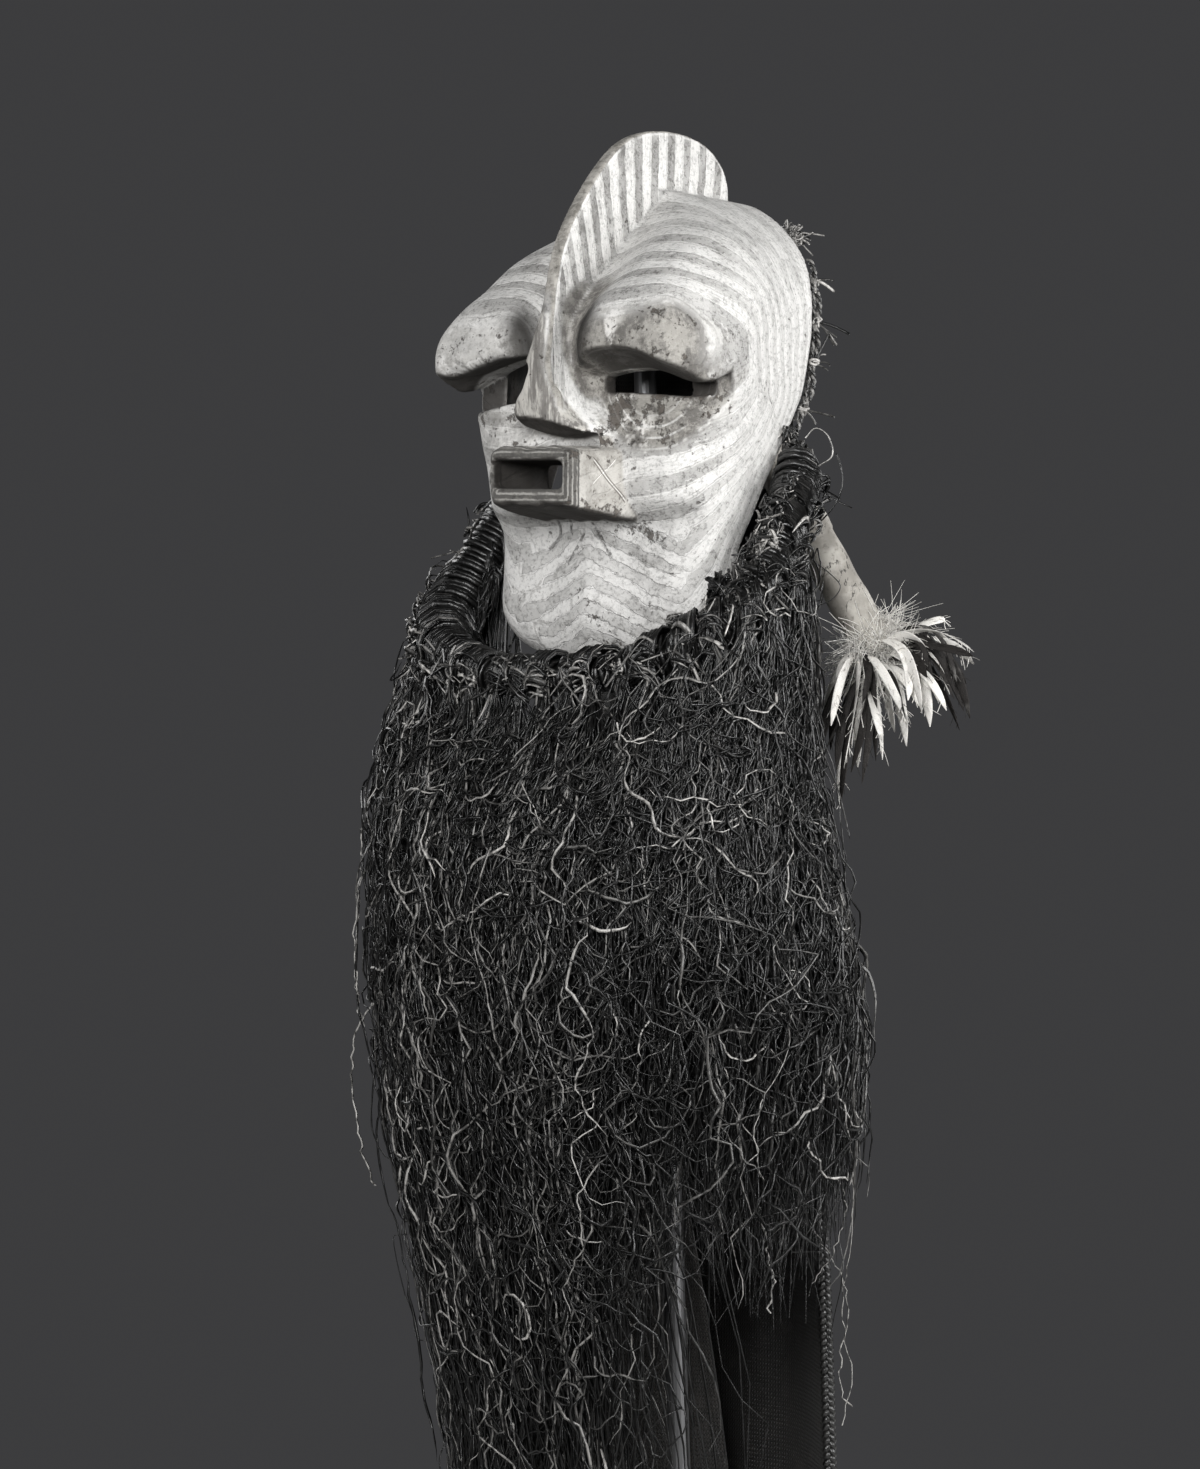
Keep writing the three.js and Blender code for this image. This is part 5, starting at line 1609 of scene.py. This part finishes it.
# %% The stick
STICK_PATH = [(108, 41, 1280), (120, 50, 1250), (153, 74, 1172), (190, 112, 1080)]
STICK_RADIUS = 21.5
STICK_RINGS, STICK_SIDES = 90, 56
SEAM_ANGLE = 3.5


def stick_surface(share, turn):
    """The rolled hide: its seam is a step that widens into a split near the end"""
    centre, side, back = Line(STICK_PATH).framed(share, (0, 0, 1.0), 0.01)
    angle = turn * 2 * math.pi
    off = np.angle(np.exp(1j * (angle - SEAM_ANGLE)))
    split = 0.05 + 0.5 * smooth_step(share, 0.45, 1.0)
    groove = fade(np.abs(off), split * 0.6, split) * (1.5 + 11 * smooth_step(share, 0.4, 0.95))
    lip = 1.3 * smooth_step(off, -0.2, 0.3) * fade(off, 0.3, 2.6)
    radius = STICK_RADIUS - 2.5 + 2.5 * smooth_step(share, 0, 0.5) + lip - groove
    radius = radius + 0.5 * np.sin(share * 30 + angle * 2) - 1.2 * smooth_step(share, 0.44, 0.45)
    return centre + radius[..., None] * (side * np.cos(angle)[..., None] - back * np.sin(angle)[..., None])


def tube_of(name, rings, sides, surface):
    """A closed tube: a circle of points is extruded ring by ring and each ring is put on the surface"""
    work = bmesh.new()
    first = bmesh.ops.create_circle(work, segments=sides, radius=1)["verts"]
    turns = np.arange(sides) / sides
    edges = list({edge for vert in first for edge in vert.link_edges})
    bmesh.ops.contextual_create(work, geom=edges)
    ring = first
    for k in range(rings):
        places = surface(np.full(sides, k / (rings - 1)), turns) * MM
        if k:
            grown = bmesh.ops.extrude_edge_only(work, edges=edges)["geom"]
            new = [item for item in grown if isinstance(item, bmesh.types.BMVert)]
            edges = [item for item in grown if isinstance(item, bmesh.types.BMEdge)]
            edges = [edge for edge in edges if all(vert in new for vert in edge.verts)]
            from_old = {}
            for vert in new:
                rung = next(edge for edge in vert.link_edges if edge not in edges)
                from_old[rung.other_vert(vert)] = vert
            ring = [from_old[vert] for vert in ring]
        for vert, place in zip(ring, places):
            vert.co = place
    bmesh.ops.contextual_create(work, geom=edges)
    bmesh.ops.recalc_face_normals(work, faces=work.faces)
    made = from_bmesh(name, work)
    smooth_faces(made)
    return made


stick = tube_of("rolled_hide", STICK_RINGS, STICK_SIDES, stick_surface)
hide = Finish("pale_hide", Roughness=0.55, Specular_IOR_Level=0.35)
cloud = hide.noise(26, 5, 0.6)
fleck = hide.noise(160, 4, 0.7)
skin = hide.blend(cloud.above(0.4, 0.64), (0.44, 0.42, 0.38), (0.24, 0.225, 0.2))
skin = hide.blend(fleck.above(0.54, 0.68) * 0.6, skin, (0.13, 0.118, 0.102))
crack = 1 - abs(hide.noise(30, 5, 0.6, (1, 1, 0.4)) - 0.5).above(0.004, 0.012)
skin = hide.blend(crack * fleck.above(0.44, 0.52) * 0.9, skin, (0.03, 0.027, 0.024))
hide.feed(Base_Color=skin, Roughness=0.5 + fleck * 0.2)
hide.bump(cloud * 0.6 + fleck * 0.4, 0.001)
attach(stick, hide, "pale_stick", "feather_stick")
print("the stick has", len(stick.data.polygons), "faces")

# %% The tuft
TUFT_CENTRE = np.array((190, 112, 1080.0))
TUFT_AXIS = unit(np.array((70, 62, -170.0)))
TUFT_SIDE = unit(np.cross(TUFT_AXIS, (0, 0, 1.0)))
TUFT_FRONT = np.cross(TUFT_AXIS, TUFT_SIDE)
FEATHER_COUNT = 72
DOWN_COUNT = 700


def ring_direction(turn):
    return TUFT_SIDE * math.cos(turn) + TUFT_FRONT * math.sin(turn)


def feather_line(start, direction, length, droop, points=12):
    part = np.linspace(0, 1, points)[:, None]
    sway = shake.normal(0, 0.16, 3)
    path = start + length * direction * part * (1 - 0.25 * part)
    return path + length * (np.array((0, 0, -droop)) + sway) * part**2


def barbs_of(line, width, count):
    """Loose barbs along both edges of a feather"""
    made = []
    for _ in range(count):
        place = shake.uniform(0.12, 0.95)
        spot = place * (len(line) - 1)
        k = min(int(spot), len(line) - 2)
        root = mix(line[k], line[k + 1], spot - k)
        along = unit(line[k + 1] - line[k])
        aside = unit(np.cross(along, shake.normal(0, 1, 3)))
        made.append(wisp(root, along * 1.2 + aside, width * shake.uniform(1.2, 2.4), 0.3, 5))
    return made


blades, blade_radii, blade_tones, barbs, barb_tones = [], [], [], [], []
profile = np.interp(np.linspace(0, 1, 12), [0, 0.15, 0.5, 0.8, 0.93, 1], [0.25, 0.75, 1, 0.8, 0.5, 0.08])
for k in range(FEATHER_COUNT):
    turn = k / FEATHER_COUNT * 6 * math.pi + shake.normal(0, 0.2)
    outward = ring_direction(turn)
    start = TUFT_CENTRE + outward * shake.uniform(20, 30) + TUFT_AXIS * shake.uniform(-8, 22)
    direction = unit(outward + TUFT_AXIS * shake.uniform(0.1, 0.8) + np.array((0.3, 0.16, 0.42)))
    length = shake.uniform(66, 104)
    line = feather_line(start, direction, length, shake.uniform(0.4, 0.9))
    width = shake.uniform(3.6, 7.0)
    tone = float(shake.choice([0.05, 0.15, 0.6, 0.85, 1.0], p=[0.34, 0.2, 0.16, 0.17, 0.13]))
    blades.append(line)
    blade_radii.append(profile * width)
    blade_tones.append(tone)
    new = barbs_of(line, width, 14)
    barbs += new
    barb_tones += [tone] * len(new)
tilts = [shake.uniform(0, 3.1) + np.linspace(0, 0.8, 12) for _ in blades]
vanes = bars("feather_vanes", blades, blade_radii, 8, 0.10, tilts, blade_tones)
down = []
for _ in range(DOWN_COUNT):
    turn = shake.uniform(0, 2 * math.pi)
    outward = ring_direction(turn)
    along = shake.uniform(-24, 20)
    start = TUFT_CENTRE + outward * 21 + TUFT_AXIS * along
    aim = outward + TUFT_AXIS * shake.normal(0.15, 0.55) + shake.normal(0, 0.35, 3)
    down.append(wisp(start, aim, shake.uniform(9, 22), 1.8, 6))
    if shake.uniform() < 0.35:
        barbs.append(wisp(start + outward * 4, aim, shake.uniform(13, 24), 1.6, 7))
        barb_tones.append(0.9)
down_tones = shake.uniform(0.75, 1.0, len(down))
soft = down + barbs
fluff = bars("feather_down", soft, [0.45] * len(soft), 3, 0.6, tones=[*down_tones, *barb_tones])
vanes = joined("feathers_and_down", [vanes, fluff])
plume = Finish("plume", Roughness=0.7, Specular_IOR_Level=0.25)
tone = plume.attribute("tone")
bars_across = plume.noise(38, 4, 0.6)
barb_grain = plume.noise(700, 2, 0.6)
shade = (tone + (bars_across - 0.5) * 0.9).above(0.15, 0.75)
colour = plume.blend(shade, (0.018, 0.016, 0.015), (0.80, 0.78, 0.74))
plume.feed(Base_Color=plume.blend(barb_grain.above(0.5, 0.8) * 0.35, colour, (0.1, 0.09, 0.08)))
plume.bump(barb_grain, 0.0008)
attach(vanes, plume, "feather", "feather_tuft")
print("the tuft has", len(vanes.data.polygons), "faces")

# %% [markdown]
# ## The stand and the floor
# The pole and the foot are plain machined forms, so the frame's own solids are shown,
# in finishes of their own.

# %% The stand
steel = Finish("grey_steel", Roughness=0.42, Metallic=0.85)
grain = steel.noise(90, 4, 0.6, (1, 1, 0.05))
grey = steel.blend(grain, (0.16, 0.16, 0.165), (0.27, 0.27, 0.275))
steel.feed(Base_Color=grey, Roughness=0.36 + grain * 0.2)
plate = Finish("painted_plate", Roughness=0.5)
speckle = plate.noise(500, 3, 0.6)
plate.feed(Base_Color=plate.blend(speckle, (0.05, 0.05, 0.052), (0.085, 0.085, 0.088)))
plate.bump(speckle, 0.0003)


def dress(node, finish):
    """Gives a frame node its finish in place of the plain one"""
    shown = frame["nodes"][node]
    shown.data.materials.clear()
    shown.data.materials.append(finish.material)


dress("stand_pole", steel)
dress("stand_foot", plate)
print("the stand is shown in two finishes")

# %% The floor
work = bmesh.new()
bmesh.ops.create_circle(work, cap_ends=True, segments=96, radius=1.15)
floor = from_bmesh("studio_floor", work)
pale = Finish("pale_floor", Roughness=0.8)
pale.feed(Base_Color=pale.blend(pale.noise(3, 3), (0.52, 0.52, 0.51), (0.58, 0.58, 0.57)))
floor.data.materials.append(pale.material)
print("the floor is", round(floor.dimensions.x, 2), "metres across")

# %% [markdown]
# ## Sizes and the end

# %% Sizes and the end
triangles = {}
for piece in bpy.context.scene.objects:
    if piece.type == "MESH" and not piece.hide_render:
        triangles[piece.name] = sum(len(face.vertices) - 2 for face in piece.data.polygons)
print("triangles in all:", sum(triangles.values()))
print("the most:", sorted(triangles.items(), key=lambda pair: -pair[1])[:9])
